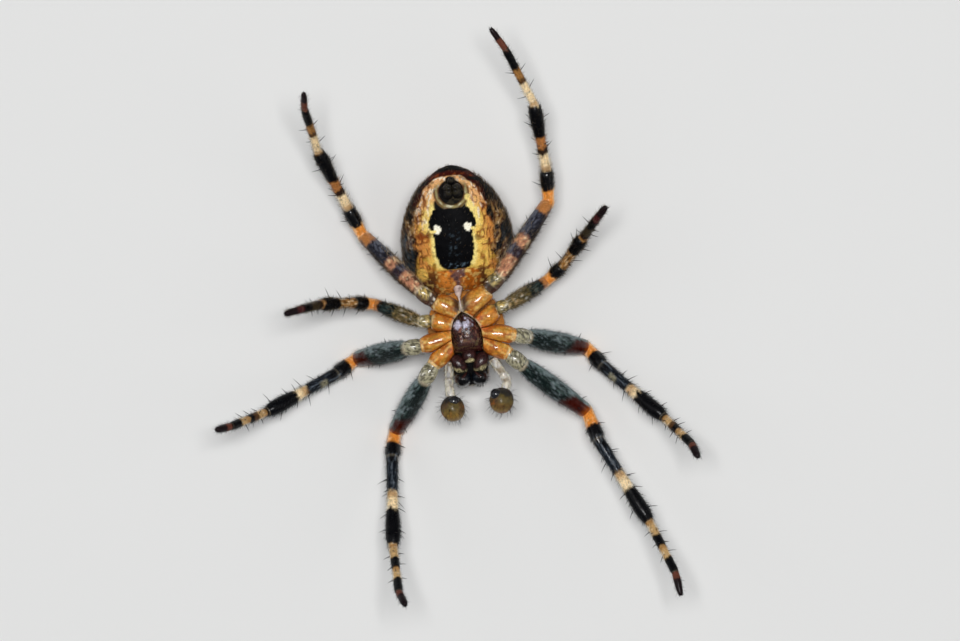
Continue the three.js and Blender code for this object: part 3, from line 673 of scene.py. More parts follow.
def leg_colours(pair, points, normals, places, across, along):
    """The markings of a leg. `across` runs from -1, behind, to 1, on its front side. `along`
    is each point in the leg's own frame, drawn short lengthwise so that noise gives streaks."""
    wander = places + 0.024 * noise(points, 0.16, 3) + 0.02 * noise(points, 0.07, 4)
    paint = Paint(BANDS[pair][0][1], points)
    for start, name in BANDS[pair][1:]:
        paint.lay(name, smooth(start - 0.02, start + 0.02, wander))
    fine, coarse = fractal(points, 0.1, 5), fractal(points, 0.3, 6)
    streak, flecks = fractal(along, 0.06, 11), noise(along, 0.04, 12)
    edge = smooth(0.6, 0.98, np.abs(across))
    coxa = 1 - smooth(0.97, 1.03, places)
    paint.lay(coxa_colours(pair, points, normals, places, across, along), coxa)
    trochanter = between(places, 1.03, 2.0, 0.03)
    lines = 1 - np.abs(noise(points, 0.1, 8)) * 3
    if pair in (3, 4):
        base = between(places, 1.0, 1.45 if pair == 4 else 1.2, 0.08)
        paint.lay("maroon" if pair == 4 else "olive", base * 0.9)
        paint.lay("olive_gold", trochanter * (1 - base) * 0.5)
        paint.lay("yellow", trochanter * (1 - base) * smooth(0, 0.5, coarse) * 0.5)
    paint.lay("straw_brown", trochanter * smooth(0.1, 0.7, lines) * 0.85)
    paint.lay("white", trochanter * smooth(0.25, 0.5, fine) * 0.85)
    if pair == 4:
        paint.lay("maroon", trochanter * smooth(0.25, 0.6, across + 0.2 * fine) * 0.85)
    femur = between(places, 1.97, 2.97, 0.03)
    if pair < 3:
        # Teal streaks of the hairs' own colour, with painted rim light and sheen: paler towards
        # the edges and the rear side.
        behind = smooth(0.15, -0.75, across)
        paint.lay("teal_light", femur * smooth(0.15, 0.7, streak + 0.3 * edge + 0.5 * behind)
                  * 0.75)
        paint.lay("teal_pale", femur * smooth(0.4, 0.95, flecks + 0.4 * edge + 0.6 * behind)
                  * 0.5)
        end = smooth(2.6, 2.7, places + 0.07 * across) * between(places, 2.5, 2.97, 0.02)
        end = end * smooth(-0.8, -0.5, across + 0.15 * noise(points, 0.3, 12))
        paint.lay("maroon", end)
        paint.lay("rust", end * smooth(2.86, 2.97, places + 0.03 * streak))
    elif pair == 3:
        mottled = femur * (1 - smooth(2.44, 2.54, places))
        paint.lay("straw_brown", mottled * smooth(-0.1, 0.3, fine) * 0.85)
        paint.lay("tan", mottled * smooth(0.05, 0.45, -fine) * 0.75)
        paint.lay("white", mottled * smooth(0.4, 0.7, flecks) * 0.7)
        dark = between(places, 2.5, 2.84, 0.03)
        paint.lay("teal_light", dark * smooth(0.1, 0.5, streak) * 0.6)
    else:
        dark = np.maximum(between(places, 2.24, 2.38, 0.03), between(places, 2.5, 2.83, 0.03))
        pinkish = (femur - dark).clip(0, 1) * (1 - smooth(2.8, 2.84, places))
        paint.lay("pink_dark", pinkish * smooth(0.0, 0.4, fine + 0.4 * edge) * 0.9)
        paint.lay("orange_pale", pinkish * smooth(0.15, 0.55, -fine) * 0.6)
        paint.lay("cream", pinkish * smooth(0.35, 0.65, flecks) * 0.8)
        paint.lay("lilac_grey", dark * smooth(0.0, 0.5, streak - 0.5 * across) * 0.6)
        paint.lay("black", dark * smooth(0.1, 0.5, -streak) * 0.7)
        shaded = smooth(0.5, 0.85, across + 0.25 * fine)
        paint.lay("brown_dark", femur * shaded * 0.8)
    knee = between(places, 2.95, 3.45, 0.03)
    # Pale orange mottling on the knee, stronger towards its edges as a painted highlight.
    paint.lay("orange_pale", knee * smooth(0.1, 0.5, fine + 0.9 * edge) * 0.75)
    banded = smooth(3.4, 3.6, places)
    # Slate-blue streaks on the tibia, partly its own colour and partly painted sheen, kept off
    # its edges.
    bluish = between(places, 3.95, 4.42, 0.05) if pair < 3 else 0
    paint.lay("slate", bluish * smooth(-0.1, 0.35, streak) * (1 - edge) * 0.7)
    if pair == 2:
        patch = between(places + 0.02 * coarse, 4.17, 4.26, 0.02) * smooth(-0.3, 0.3, across)
        paint.lay("straw", patch * 0.7)
        paint.lay("straw_brown", patch * smooth(0.0, 0.3, fine) * 0.6)
    if pair == 3:
        streaked = between(places, 4.02, 4.5, 0.03)
        paint.lay("brown_dark", streaked * smooth(0.0, 0.3, streak) * 0.8)
        paint.lay("cream", streaked * smooth(0.2, 0.5, flecks) * 0.6)
    bright = paint.light.mean(axis=1)
    warm = np.maximum(banded, knee) * smooth(0.08, 0.2, bright)
    paint.lay("brown", warm * smooth(0.1, 0.55, streak) * 0.4)
    paint.lay("brown_dark", banded * warm * smooth(0.35, 0.6, -fine) * 0.55)
    pale = banded * smooth(0.15, 0.45, bright)
    paint.lay("white", pale * smooth(0.2, 0.75, fine + 0.9 * edge) * 0.8)
    for start, name in BANDS[pair]:
        if name in ("cream", "tan"):
            paint.lay("tan_brown", between(places, start, start + 0.07, 0.03)
                      * (1 - 0.5 * edge) * 0.7)
    for joint, share in ((2, 0.6), (4, 0.14), (5, 0.2), (6, 0.1)):
        seam = 1 - smooth(0.0, 0.022, np.abs(places - joint))
        paint.lay("membrane", seam * share)
    return paint.light


def leg_roughness(places, points):
    glossy = np.maximum(between(places, 2.66, 2.97, 0.04),
                        between(places, 4.0, 7.0, 0.03) * 0.6)
    return 0.5 + 0.08 * noise(points, 0.1, 21) - 0.22 * glossy


LEG_SIDES = 32
STREAK_SHARE = 0.22  # how far the leg is drawn short, to turn noise into lengthwise streaks
TIP_SHARE = 0.93  # how far the last segment's skin reaches; the claws reach the rest of the way


def leg_skin(side, pair):
    """A leg from the sternum to the claws, with its place and its side at each point."""
    joints = leg_joints(side, pair)
    joints[-1] = joints[-2] + (joints[-1] - joints[-2]) * TIP_SHARE
    centres, tangents, places = leg_path(joints, root=COXA_ROOT)
    radii = leg_radii(pair, places)
    rings, _ = tube_rings(centres, tangents, radii, LEG_SIDES)
    turn = TAU * np.arange(LEG_SIDES) / LEG_SIDES
    steps = np.linalg.norm(np.diff(centres, axis=0), axis=1)
    travel = np.concatenate([[0], np.cumsum(steps)]) * STREAK_SHARE
    along = np.stack([np.broadcast_to(travel[:, None], rings.shape[:2]),
                      radii[:, None] * np.cos(turn), radii[:, None] * np.sin(turn)], axis=2)
    along = np.vstack([along.reshape(-1, 3), [[travel[0], 0, 0], [travel[-1], 0, 0]]])
    points = rings.reshape(-1, 3)
    every = np.repeat(places, LEG_SIDES)
    outward = unit(points - np.repeat(centres, LEG_SIDES, axis=0))
    lumps = 0.006 * noise(points, 0.09, 31) + 0.008 * noise(points, 0.3, 32)
    lumps = lumps + 0.016 * noise(points, 0.24, 33) * (every < 1)
    points = press_coxae(points + outward * lumps[:, None], every, side, pair)
    points[:, 2] = np.maximum(points[:, 2], FLOOR_Z)
    end = joints[-1] + tangents[-1] * 0.03
    skin = closed_loft(points.reshape(rings.shape), along_path(centres), None, end)
    place = np.concatenate([every, places[[0, -1]]])
    flow = np.concatenate([np.repeat(tangents, LEG_SIDES, axis=0), tangents[[0, -1]]])
    front = unit(np.cross(flow, [0, 0, 1.0])) * SIDES[side]
    across = dot(skin["normals"], front)
    skin.update(flow=flow, place=place, across=across)
    skin["colour"] = leg_colours(pair, skin["points"], skin["normals"], place, across, along)
    skin["rough"] = leg_roughness(place, skin["points"])
    # Hairs thin out on the knee, on the femur's glossy end and towards the body.
    hairy = 0.03 + 0.97 * smooth(1.9, 2.1, place)
    skin["hairy"] = hairy * (1 - 0.8 * between(place, 2.68, 3.4, 0.05))
    return skin


def leg_hairs(skin, pair):
    """Fine hairs that lie along the leg, some of them standing."""
    count = 6000
    got = scatter(skin, count)
    at = got["place"]
    chance = rng.random(count)
    # Pale hairs are commoner on the leg's sides and rear: partly their own colour, partly
    # painted rim light.
    sides = 1 - smooth(0.15, 0.7, np.abs(got["normals"][:, 2]))
    behind = smooth(0.2, -0.7, got["across"])
    pale = smooth(0.7 - 0.3 * sides - 0.2 * behind, 1.0, chance)
    pale = pale * np.where(at < 2.66, 0.35 + 0.45 * behind, 0.12 + 0.3 * sides)
    tone = mix(got["colour"] * 0.9, COLOURS["teal_pale" if pair < 3 else "cream"], pale)
    standing = rng.random(count) < 0.15
    tone = mix(tone, COLOURS["hair_dark"], standing * 0.8)
    length = (0.09 + 0.15 * rng.random(count) ** 2) * np.where(at > 5, 0.8, 1.0)
    length = np.where(standing, 0.14 + 0.12 * rng.random(count), length)
    lie = got["flow"] + 0.25 * rng.normal(size=(count, 3))
    lift = 0.25 + 0.45 * rng.random(count) + 0.2 * sides
    lift = np.where(standing, 0.85 + 0.35 * rng.random(count), lift)
    return hairs(got["points"], got["normals"], lie, length, 0.01, lift, 0.35, got["uv"], tone)


def spine_places(pair):
    """Where spines stand on a leg: the place along it and the angle round it."""
    thick = pair < 3
    spots = []
    for i, (low, high, rows, each) in {
            2: (0.3, 0.92, 4, 2), 3: (0.4, 0.9, 3, 1), 4: (0.1, 0.94, 6, 4 if thick else 2),
            5: (0.08, 0.75, 4, 3 if thick else 2)}.items():
        for row in range(rows):
            for n in range(each):
                share = (n + 0.2 + 0.6 * rng.random()) / each
                angle = TAU * (row + 0.3 * rng.random()) / rows
                spots.append((i + low + (high - low) * share, angle))
    return np.array(spots)


def leg_spines(side, pair):
    """Stout dark spines that stand off the leg and lean to its end."""
    centres, tangents, places = leg_path(leg_joints(side, pair))
    spots = spine_places(pair)
    index = np.searchsorted(places, spots[:, 0]).clip(0, len(places) - 1)
    radii = leg_radii(pair, places)[index]
    t = tangents[index]
    side_way = unit(np.cross([0, 0, 1.0], t))
    up = np.cross(t, side_way)
    out = side_way * np.cos(spots[:, 1])[:, None] + up * np.sin(spots[:, 1])[:, None]
    root = centres[index] + out * radii[:, None]
    count = len(root)
    length = np.where(spots[:, 0] < 3, 0.24, np.where(spots[:, 0] < 5, 0.44, 0.36))
    length = length * (0.7 + 0.5 * rng.random(count))
    tint = np.tile(COLOURS["hair_dark"], (count, 1))
    v = along_path(centres)[index]
    uv = drawn_in(np.stack([(spots[:, 1] / TAU + 0.25) % 1, v], axis=1))
    lift = 0.95 + 0.45 * rng.random(count)
    return hairs(root, out, t, length, 0.046, lift, 0.2, uv, tint, rings=4)


def curved_cone(base, way, bend, length, radius, rows=9, ring_sides=8, turn=1.2):
    """A cone that curls from `way` towards `bend`."""
    s = np.linspace(0, 1, rows)
    angle = turn * s
    tangents = way * np.cos(angle)[:, None] + bend * np.sin(angle)[:, None]
    steps = np.vstack([np.zeros(3), (tangents[1:] + tangents[:-1]) / 2 * length / (rows - 1)])
    centres = base + np.cumsum(steps, axis=0)
    radii = radius * (1 - s) ** 0.7 + radius * 0.06
    reference = np.cross(way, bend)
    rings, _ = tube_rings(centres, unit(tangents), radii, ring_sides, reference)
    return closed_loft(rings, np.linspace(0.05, 0.95, rows))


def tinted(skin, name, seed=40, variation=0.15):
    """The skin in one colour, in lighter and darker clouds."""
    shade = 1 + variation * fractal(skin["points"], 0.2, seed)
    return dict(skin, colour=COLOURS[name] * shade[:, None])


def leg_claws(side, pair):
    """Two curved claws side by side at the foot's end, and a smaller one between them."""
    joints = leg_joints(side, pair)
    way = unit(joints[-1] - joints[-2])
    base = joints[-2] + (joints[-1] - joints[-2]) * 0.9
    across = unit(np.cross(way, [0, 0, 1.0]))
    bend = unit(np.cross(across, way))
    bend = bend * np.sign(bend[2] + 1e-9)
    claws = []
    for offset, size in ((-0.05, 1.0), (0.05, 1.0), (0.0, 0.7)):
        root = base + across * offset - way * 0.02 + bend * (0.03 if size < 1 else -0.01)
        lean = unit(way + across * offset * 2)
        claws.append(curved_cone(root, lean, bend, 0.16 * size, 0.024 * size))
    return joined([tinted(c, "black") for c in claws])


# ---- Abdomen -----------------------------------------------------------------------------

def egg_share(place, front_power):
    """The abdomen's outline, from 0 at its rear through 1 where it is widest to 0 in front."""
    widest, rear_power = ABDOMEN["widest"], ABDOMEN["rear_power"]
    rear = np.maximum(1 - (1 - np.minimum(place, widest) / widest) ** 2, 0) ** rear_power
    past = np.maximum(place - widest, 0) / (1 - widest)
    front = np.sqrt(np.maximum(1 - past ** front_power, 0))
    return np.where(place < widest, rear, front)


def abdomen_surface(place, angle, inset=0.0):
    """A point of the abdomen. The angle is a quarter turn at the middle of the belly."""
    a = ABDOMEN
    half_width = a["half_width"] * egg_share(place, a["front_width_power"])
    half_depth = a["half_depth"] * egg_share(place, a["front_depth_power"])
    middle = a["rear_z"] + (a["front_z"] - a["rear_z"]) * place
    keep = 1 - inset / a["half_depth"]
    x = half_width * keep * np.cos(angle)
    z = middle + half_depth * keep * np.sin(angle)
    y = np.broadcast_to(a["rear_y"] - place * a["length"], x.shape)
    return np.stack([x, y, z], axis=-1)


# The belly's marks lie a little to the left, as the abdomen is turned.
BELLY_SHIFT = ([2.0, 2.34, 2.75], [0.14, 0.1, 0.04])
RING_MIDDLE = (-0.05, 2.4)  # of the ring round the spinnerets
PATCH_EDGE = ([-0.78, -0.7, -0.6, -0.42, -0.2, 0.1, 0.35, 0.6, 0.85, 1.05, 1.38, 1.6, 1.74],
              [0.36, 0.52, 0.6, 0.69, 0.76, 0.81, 0.8, 0.78, 0.9, 0.98, 0.93, 0.8, 0.7])
BAND_EDGE = ([-1.2, -0.9, -0.4, 0.1, 0.85, 1.4, 1.8, 2.25, 2.73, 2.98, 3.1, 3.18],
             [1.5, 1.6, 1.62, 1.52, 1.56, 1.47, 1.43, 1.31, 0.97, 0.6, 0.35, 0.0])
PATCH_TOP, PATCH_FRONT = 1.74, -0.76


def reach(x, y, middle_x, middle_y, half_x, half_y):
    """How far out each place lies in an oval, which is 1 on its edge."""
    return np.hypot((x - middle_x) / half_x, (y - middle_y) / half_y)


def near(points, x, y, half_x, half_y, ragged=0):
    """Near 1 within a ragged oval spot, and 0 outside it."""
    return smooth(1.15, 0.8, reach(*points.T[:2], x, y, half_x, half_y) + ragged)


def flank_colours(points, x, streaks, fine, speck):
    """Black, marbled with brown and tan on its right side most, and with a painted blue-grey
    sheen where the left side turns."""
    y, out, right = points[:, 1], np.abs(x), smooth(-0.5, 0.5, x)
    marble = smooth(-0.05, 0.3, noise(points * [1, 0.6, 0.5], 0.24, 57) + 0.4 * streaks
                    + 0.18 * right)
    marble = marble * between(y, -1.0, 1.75, 0.3) * smooth(2.3, 2.0, out)
    marble = marble * np.maximum(right, smooth(0.0, 0.7, y))
    paint = Paint("flank", points)
    paint.lay("flank_red", marble * 0.9)
    paint.lay("flank_tan", marble * smooth(-0.05, 0.3, streaks + 0.4 * fine) * 0.9)
    paint.lay("cream", marble * smooth(0.25, 0.5, speck) * 0.8)
    paint.lay("flank", smooth(0.15, 0.4, -fine) * 0.5)
    # Painted sheen: blue-grey, with pale specks, on the hairs where the left side turns away.
    turned = smooth(1.6, 2.0, out) * smooth(-0.5, 0.5, fractal(points * [1, 0.5, 1], 0.22, 58))
    turned = turned * smooth(1.2, 2.2, points[:, 2])
    turned = turned * (1 - 0.75 * right)
    painted_sheen = np.maximum(smooth(1.3, 0.6, y), between(y, 2.0, 3.2, 0.2) * smooth(0.9, 1.2, out))
    paint.lay("grey_blue", turned * painted_sheen * 0.8)
    return paint.lay("teal_pale", turned * painted_sheen * smooth(0.2, 0.5, speck) * 0.6)


def band_colours(points, x, inner, outer, streaks, wide, fine, speck):
    """The pale bands beside the dark patch: yellow within, orange and brown without."""
    y, out = points[:, 1], np.abs(x)
    place = np.clip((out - inner) / np.maximum(outer - inner, 0.2), 0, 1)
    creases = 1 - np.abs(noise(points * [1, 0.45, 0.4], 0.13, 56)) * 3
    paint = Paint("yellow", points)
    browner = 0.3 * smooth(0.2, -0.2, x) * smooth(0.8, 0.4, y)
    paint.lay("band_orange", smooth(0.45, 1.0, place + 0.35 * wide + 0.3 * streaks + browner)
              * 0.85)
    paint.lay("pink_orange", smooth(1.6, 2.2, y + 0.3 * fine) * 0.85)
    paint.lay("pale_yellow", between(y, 0.9, 1.95, 0.15)
              * between(place + 0.3 * fine, -1, 0.4, 0.12) * smooth(0.7, 1.9, y + wide))
    paint.lay("pale_yellow", between(y, -0.65, 0.7, 0.1)
              * smooth(0.24, 0.1, place + 0.1 * fine))
    paint.lay("cream_white", smooth(0.2, 0.5, streaks) * smooth(0.6, 1.4, y) * 0.6)
    paint.lay("band_brown", smooth(0.25, 0.7, creases) * smooth(0.1, 0.45, place + 0.3 * fine)
              * 0.8)
    paint.lay("vein", smooth(0.55, 0.9, creases) * smooth(0.4, 0.7, place) * 0.7)
    paint.lay("olive_gold", between(y, -0.75, -0.1, 0.1) * smooth(0, 0.4, fine) * 0.5)
    paint.lay("flank", smooth(0.3, 0.55, speck) * smooth(0.5, 0.85, place) * 0.8)
    blotch = reach(x, y, -1.3, 0.72, 0.34, 0.17) + 0.4 * fine
    paint.lay("band_brown", smooth(1.1, 0.7, blotch) * 0.9)
    dark_y = np.where(x < 0, 0.73, 0.46)
    dark = reach(out, y, 0.98, dark_y, 0.13, 0.17) + 0.4 * fine
    return paint.lay("vein", smooth(1.1, 0.7, dark) * 0.6)


def belly_colours(points):
    """The markings of the belly, from the rear's dark edge to the waist."""
    y = points[:, 1]
    x = points[:, 0] + np.interp(y, *BELLY_SHIFT)
    out = np.abs(x)
    flat = points * [1, 1, 0.3]
    wide, fine = noise(flat, 0.36, 51), noise(flat, 0.13, 52)
    speck = fractal(flat, 0.09, 53)
    streaks = noise(points * [1.0, 0.35, 1.0], 0.09, 54)
    paint = Paint(flank_colours(points, x, streaks, fine, speck), points)
    outer = np.interp(y, *BAND_EDGE) + 0.07 * fine + 0.12 * wide
    inner = np.interp(y, *PATCH_EDGE) + 0.03 * fine + 0.012 * np.cos(TAU * y / 0.21)
    band = smooth(0.05, -0.05, out - outer) * smooth(-1.35, -1.1, y)
    paint.lay(band_colours(points, x, inner, outer, streaks, wide, fine, speck), band)
    border = between(out - outer, -0.05, 0.15, 0.05) * between(y, 1.95, 3.2, 0.15)
    paint.lay("maroon", border * (0.75 + 0.5 * streaks).clip(0, 1))
    # Behind the ring: a pale arch, then a maroon one, then the dark rear.
    bow = y + 0.14 * out ** 2 + 0.02 * fine
    arch = between(bow, 2.88, 3.08, 0.03) * smooth(0.06, -0.06, out - outer)
    paint.lay("pink_orange", arch)
    paint.lay("cream_white", arch * smooth(-0.1, 0.4, streaks) * 0.8)
    paint.lay("straw_brown", arch * smooth(0.1, 0.4, -fine) * 0.6)
    rust_arch = between(bow, 3.08, 3.28, 0.04) * smooth(1.2, 0.75, out + 0.2 * wide)
    paint.lay("maroon", rust_arch)
    paint.lay("band_brown", rust_arch * smooth(0.1, 0.5, streaks) * 0.6)
    paint.lay("patch", smooth(3.24, 3.34, bow + 0.05 * fine))
    # The ring round the spinnerets, which is open behind, and the dark field inside it.
    from_spinners = np.hypot(points[:, 0] - RING_MIDDLE[0], y - RING_MIDDLE[1])
    open_behind = smooth(2.86, 2.5, y + 0.1 * fine)
    paint.lay("vein", between(from_spinners, 0.5, 0.74, 0.03) * open_behind * 0.9)
    ring = between(from_spinners + 0.03 * fine, 0.57, 0.66, 0.022) * open_behind
    paint.lay("ring", ring * (0.75 + 0.35 * fine).clip(0, 1))
    paint.lay("cream_white", ring * smooth(0.2, 0.6, fine) * 0.4)
    paint.lay("pale_yellow", near(points, 0.6, 2.13, 0.12, 0.13, 0.3 * fine) * 0.85)
    paint.lay("pale_yellow", near(points, 0.7, 1.75, 0.14, 0.26, 0.3 * fine) * 0.9)
    field = np.maximum(smooth(0.56, 0.5, from_spinners), near(points, -0.05, 2.9, 0.2, 0.16))
    paint.lay("flank", field)
    paint.lay("straw_brown", field * smooth(0.1, 0.5, fine) * 0.8)
    wedge = between(y, PATCH_TOP - 0.1, 2.1, 0.03) * smooth(0.72, 0.62, out + 0.06 * fine)
    paint.lay("flank", wedge * smooth(0.7, 0.76, from_spinners))
    # In front of the furrow: amber plates, a dusky middle and yellow spots over the lungs.
    front = smooth(-0.74, -0.8, y + 0.03 * fine)
    plate = front * smooth(1.4, 1.15, out + 0.12 * fine)
    amber = Paint("amber_deep", points)
    amber.lay("orange", smooth(-0.3, 0.6, wide + 0.6 * fine + 0.9 * (0.6 - out)) * 0.85)
    amber.lay("brown_dark", smooth(0.75, 1.05, out + 0.25 * wide) * 0.8)
    amber.lay("brown", smooth(0.1, 0.5, streaks + 0.5 * fine) * 0.6)
    amber.lay("amber_light", smooth(0.25, 0.5, noise(flat, 0.1, 59)) * 0.5)
    amber.lay("amber_light", near(points, 0.28, -0.86, 0.16, 0.08, 0.4 * fine) * 0.9)
    amber.lay("cream", near(points, 1.3, -0.84, 0.16, 0.06, 0.4 * fine))
    paint.lay(amber.light, plate)
    wedge_edge = np.interp(y, [-1.4, -0.8], [0.08, 0.34])
    middle = front * smooth(0.1, -0.1, out - wedge_edge + 0.1 * fine + 0.08 * wide)
    paint.lay("epigastric", middle * 0.9)
    paint.lay("amber_deep", middle * smooth(0.0, 0.4, fine) * 0.6)
    # Painted glints: white specks over the dusky middle.
    paint.lay("white", middle * smooth(0.35, 0.6, speck) * 0.7)
    paint.lay("plum", middle * smooth(0.1, 0.4, -speck) * 0.6)
    lungs = np.maximum(near(points, -1.58, -0.9, 0.27, 0.27, 0.25 * fine),
                       near(points, 1.2, -1.0, 0.24, 0.14, 0.3 * fine) * 0.7)
    paint.lay("yellow", lungs * 0.95)
    # The dark patch and its two white spots.
    patch = smooth(-0.015, 0.015, inner - out)
    patch = patch * smooth(0.02, -0.02, y - PATCH_TOP - 0.03 * fine)
    patch = patch * smooth(PATCH_FRONT - 0.015, PATCH_FRONT + 0.015, y + 0.01 * fine)
    paint.lay("patch", patch)
    sheen = smooth(0.35, 0.1, out) * smooth(1.4, 0.4, y) + between(y, -0.7, -0.45, 0.08) * 1.5
    paint.lay("grey_blue", patch * smooth(0.1, 0.6, speck) * sheen * 0.35)
    ragged = 0.35 * noise(flat, 0.09, 55)
    spot = reach(out, y, 0.63, 0.94, 0.155, 0.2) + ragged
    paint.lay("cream_white", smooth(1.0, 0.85, spot))
    tail = reach(out, y, 0.84, 0.85, 0.13, 0.075) + ragged
    return paint.lay("pale_yellow", smooth(1.05, 0.85, tail))


def back_colours(points):
    """The markings of the back, from the species: a lobed dark leaf and a white cross."""
    y, out = points[:, 1], np.abs(points[:, 0])
    wide, fine = noise(points, 0.45, 61), noise(points, 0.16, 62)
    speck = fractal(points, 0.1, 63)
    paint = Paint("back_brown", points)
    paint.lay("band_orange", smooth(0.0, 0.6, wide) * 0.5)
    paint.lay("flank_tan", smooth(0.1, 0.6, fine) * 0.5)
    along = np.clip((y + 1.9) / 5.2, 0, 1)
    leaf_edge = 1.25 * (1 - along) ** 0.6 + 0.13 * np.cos(TAU * 3.5 * along) + 0.05 * fine
    leaf = (1 - smooth(-0.05, 0.05, out - leaf_edge)) * smooth(-1.6, -1.3, y)
    paint.lay("back_dark", leaf * 0.8)
    paint.lay("flank_red", leaf * smooth(0.0, 0.6, wide) * 0.5)
    rim = 1 - smooth(0.03, 0.07, np.abs(out - leaf_edge - 0.07))
    paint.lay("white", rim * smooth(-1.0, -0.8, y) * 0.75)
    for spot in ((0, -1.15, 0.09, 0.2), (0, -0.72, 0.13, 0.2), (0, -0.2, 0.08, 0.2),
                 (0, 0.25, 0.06, 0.15), (0.42, -0.7, 0.2, 0.08), (0, 0.65, 0.05, 0.1)):
        paint.lay("white", 1 - smooth(0.8, 1.05, reach(out, y, *spot) + 0.25 * fine))
    return paint.lay("flank", smooth(0.2, 0.6, speck) * 0.4)


SPINNERET_Y = 2.42
ABDOMEN_COAT = 0.03  # how far the skin lies inside the solid, for its hairs


def abdomen_skin():
    rows, ring_sides = 220, 260
    i = np.linspace(0.012, 0.99, rows)
    place = (1 - np.cos(math.pi * i)) / 2
    angle = TAU * np.arange(ring_sides) / ring_sides - math.pi / 2
    grid = abdomen_surface(place[:, None], angle[None, :], ABDOMEN_COAT)
    points = grid.reshape(-1, 3)
    outward = unit(points - np.array([0, 0.6, 2.1]))
    lumps = 0.018 * fractal(points, 0.4, 71) + 0.01 * noise(points, 0.12, 72)
    dent = np.hypot(points[:, 0], points[:, 1] - SPINNERET_Y)
    lumps = lumps - 0.05 * between(dent, 0.4, 0.54, 0.04) * (points[:, 2] > 2)
    furrow = between(points[:, 1], -0.86, -0.78, 0.03) * (points[:, 2] > 2.5)
    lumps = lumps - 0.035 * furrow * (np.abs(points[:, 0]) < 1.5)
    points = points + outward * lumps[:, None]
    points[:, 2] = np.maximum(points[:, 2], FLOOR_Z)
    rear, front = abdomen_surface(np.array([0.0, 1.0]), np.array([0.0, 0.0]), ABDOMEN_COAT)
    rear[0] = front[0] = 0
    skin = closed_loft(points.reshape(grid.shape), i, rear, front)
    points = skin["points"]
    belly = smooth(-0.25, 0.25, skin["normals"][:, 2] + 0.1 * noise(points, 0.3, 73))
    skin["colour"] = mix(back_colours(points), belly_colours(points), belly)
    skin["rough"] = 0.6 + 0.1 * noise(points, 0.12, 74)
    skin["flow"] = np.tile([0, 1.0, 0.0], (len(points), 1))
    skin["hairy"] = 0.1 + smooth(0.9, 1.7, np.abs(points[:, 0])) * 0.7 + (1 - belly) * 0.6
    return skin


def abdomen_hairs(skin):
    count = 14000
    got = scatter(skin, count)
    tone = mix(COLOURS["flank_tan"], COLOURS["hair_pale"], rng.random(count) ** 2)
    tone = mix(tone, got["colour"], 0.5 + 0.5 * rng.random(count))
    tone = mix(tone, COLOURS["flank"], smooth(0.6, 0.7, rng.random(count)))
    x = got["points"][:, 0]
    lie = got["flow"] + np.sign(x)[:, None] * [0.35, 0, 0] + 0.3 * rng.normal(size=(count, 3))
    length = (0.12 + 0.16 * rng.random(count)) * np.where(np.abs(x) < 0.9, 0.6, 1.0)
    return hairs(got["points"], got["normals"], lie, length, 0.011,
                 0.4 + 0.4 * rng.random(count), 0.5, got["uv"], tone)


def spinneret_skin():
    """Four stout spinnerets, two small ones between, and a tubercle."""
    place = (ABDOMEN["rear_y"] - SPINNERET_Y) / ABDOMEN["length"]
    top = abdomen_surface(np.array(place), np.array(math.pi / 2))[2]
    lean = unit(np.array([0, 0.35, 1.0]))
    rows, ring_sides, sink = 22, 20, 0.25
    s = np.linspace(0, 1, rows)
    profile = np.interp(s, [0, 0.35, 0.6, 0.78, 0.8, 0.93, 1.0],
                        [0.9, 1.0, 0.92, 0.78, 0.62, 0.5, 0.22])
    parts = []

    def cone(x, y, radius, height, toward, seed):
        root = np.array([x, SPINNERET_Y + y, top + 0.1 * -y]) - lean * sink
        way = unit(lean + np.array([*toward, 0]))
        centres = root + way * (s * (height + sink))[:, None]
        rings, around = tube_rings(centres, np.tile(way, (rows, 1)), profile * radius,
                                   ring_sides, (0, 1, 0))
        lumps = 0.012 * noise(rings.reshape(-1, 3), 0.08, seed)
        rings = rings + around * lumps.reshape(rows, ring_sides, 1)
        skin = tinted(closed_loft(rings, s), "flank", 81, 0.4)
        tip = np.concatenate([np.repeat(s, ring_sides), [0, 1]])
        paint = Paint(skin["colour"], skin["points"])
        paint.lay("straw_brown", smooth(0.72, 0.85, tip) * 0.7)
        skin["colour"] = paint.lay("black", smooth(0.9, 1.0, tip) * 0.8)
        parts.append(skin)

    for side in (-1, 1):
        cone(side * 0.22, -0.17, 0.21, 0.33, (-side * 0.2, 0.25), 81)
        cone(side * 0.23, 0.19, 0.2, 0.3, (-side * 0.22, -0.25), 82)
        cone(side * 0.07, 0.0, 0.09, 0.2, (0, 0), 83)
    cone(0, 0.42, 0.17, 0.14, (0, 0.2), 84)
    return joined(parts)


def pedicel_skin():
    """The waist, which thins forward to a pale line between the hind coxae."""
    s = np.linspace(0, 1, 28)[:, None]
    across = np.interp(s, [0, 0.35, 1], [-0.13, -0.185, -0.12])
    centres = np.concatenate([across, -1.3 - 1.2 * s, 2.72 + 0.62 * smooth(0, 0.8, s)], axis=1)
    radii = np.interp(s[:, 0], [0, 0.1, 0.22, 0.35, 0.5, 0.65, 1],
                      [0.06, 0.15, 0.19, 0.14, 0.06, 0.03, 0.022])
    radii = radii * (1 + 0.05 * np.cos(TAU * 5 * s[:, 0]))
    tangents = unit(np.gradient(centres, axis=0))
    rings, _ = tube_rings(centres, tangents, radii, 24)
    skin = tinted(closed_loft(rings, s[:, 0]), "waist", 90, 0.3)
    knob = smooth(-1.75, -1.6, skin["points"][:, 1])
    dusky = knob * smooth(0.0, 0.4, noise(skin["points"], 0.12, 91))
    skin["colour"] = mix(skin["colour"], COLOURS["epigastric"], dusky * 0.7)
    return skin


# ---- Front body --------------------------------------------------------------------------

def lobe(y, middle, half_length, power):
    """A lobe's outline: 1 at its middle and 0 at its ends."""
    return np.sqrt(np.maximum(0, 1 - np.abs((y - middle) / half_length) ** power))


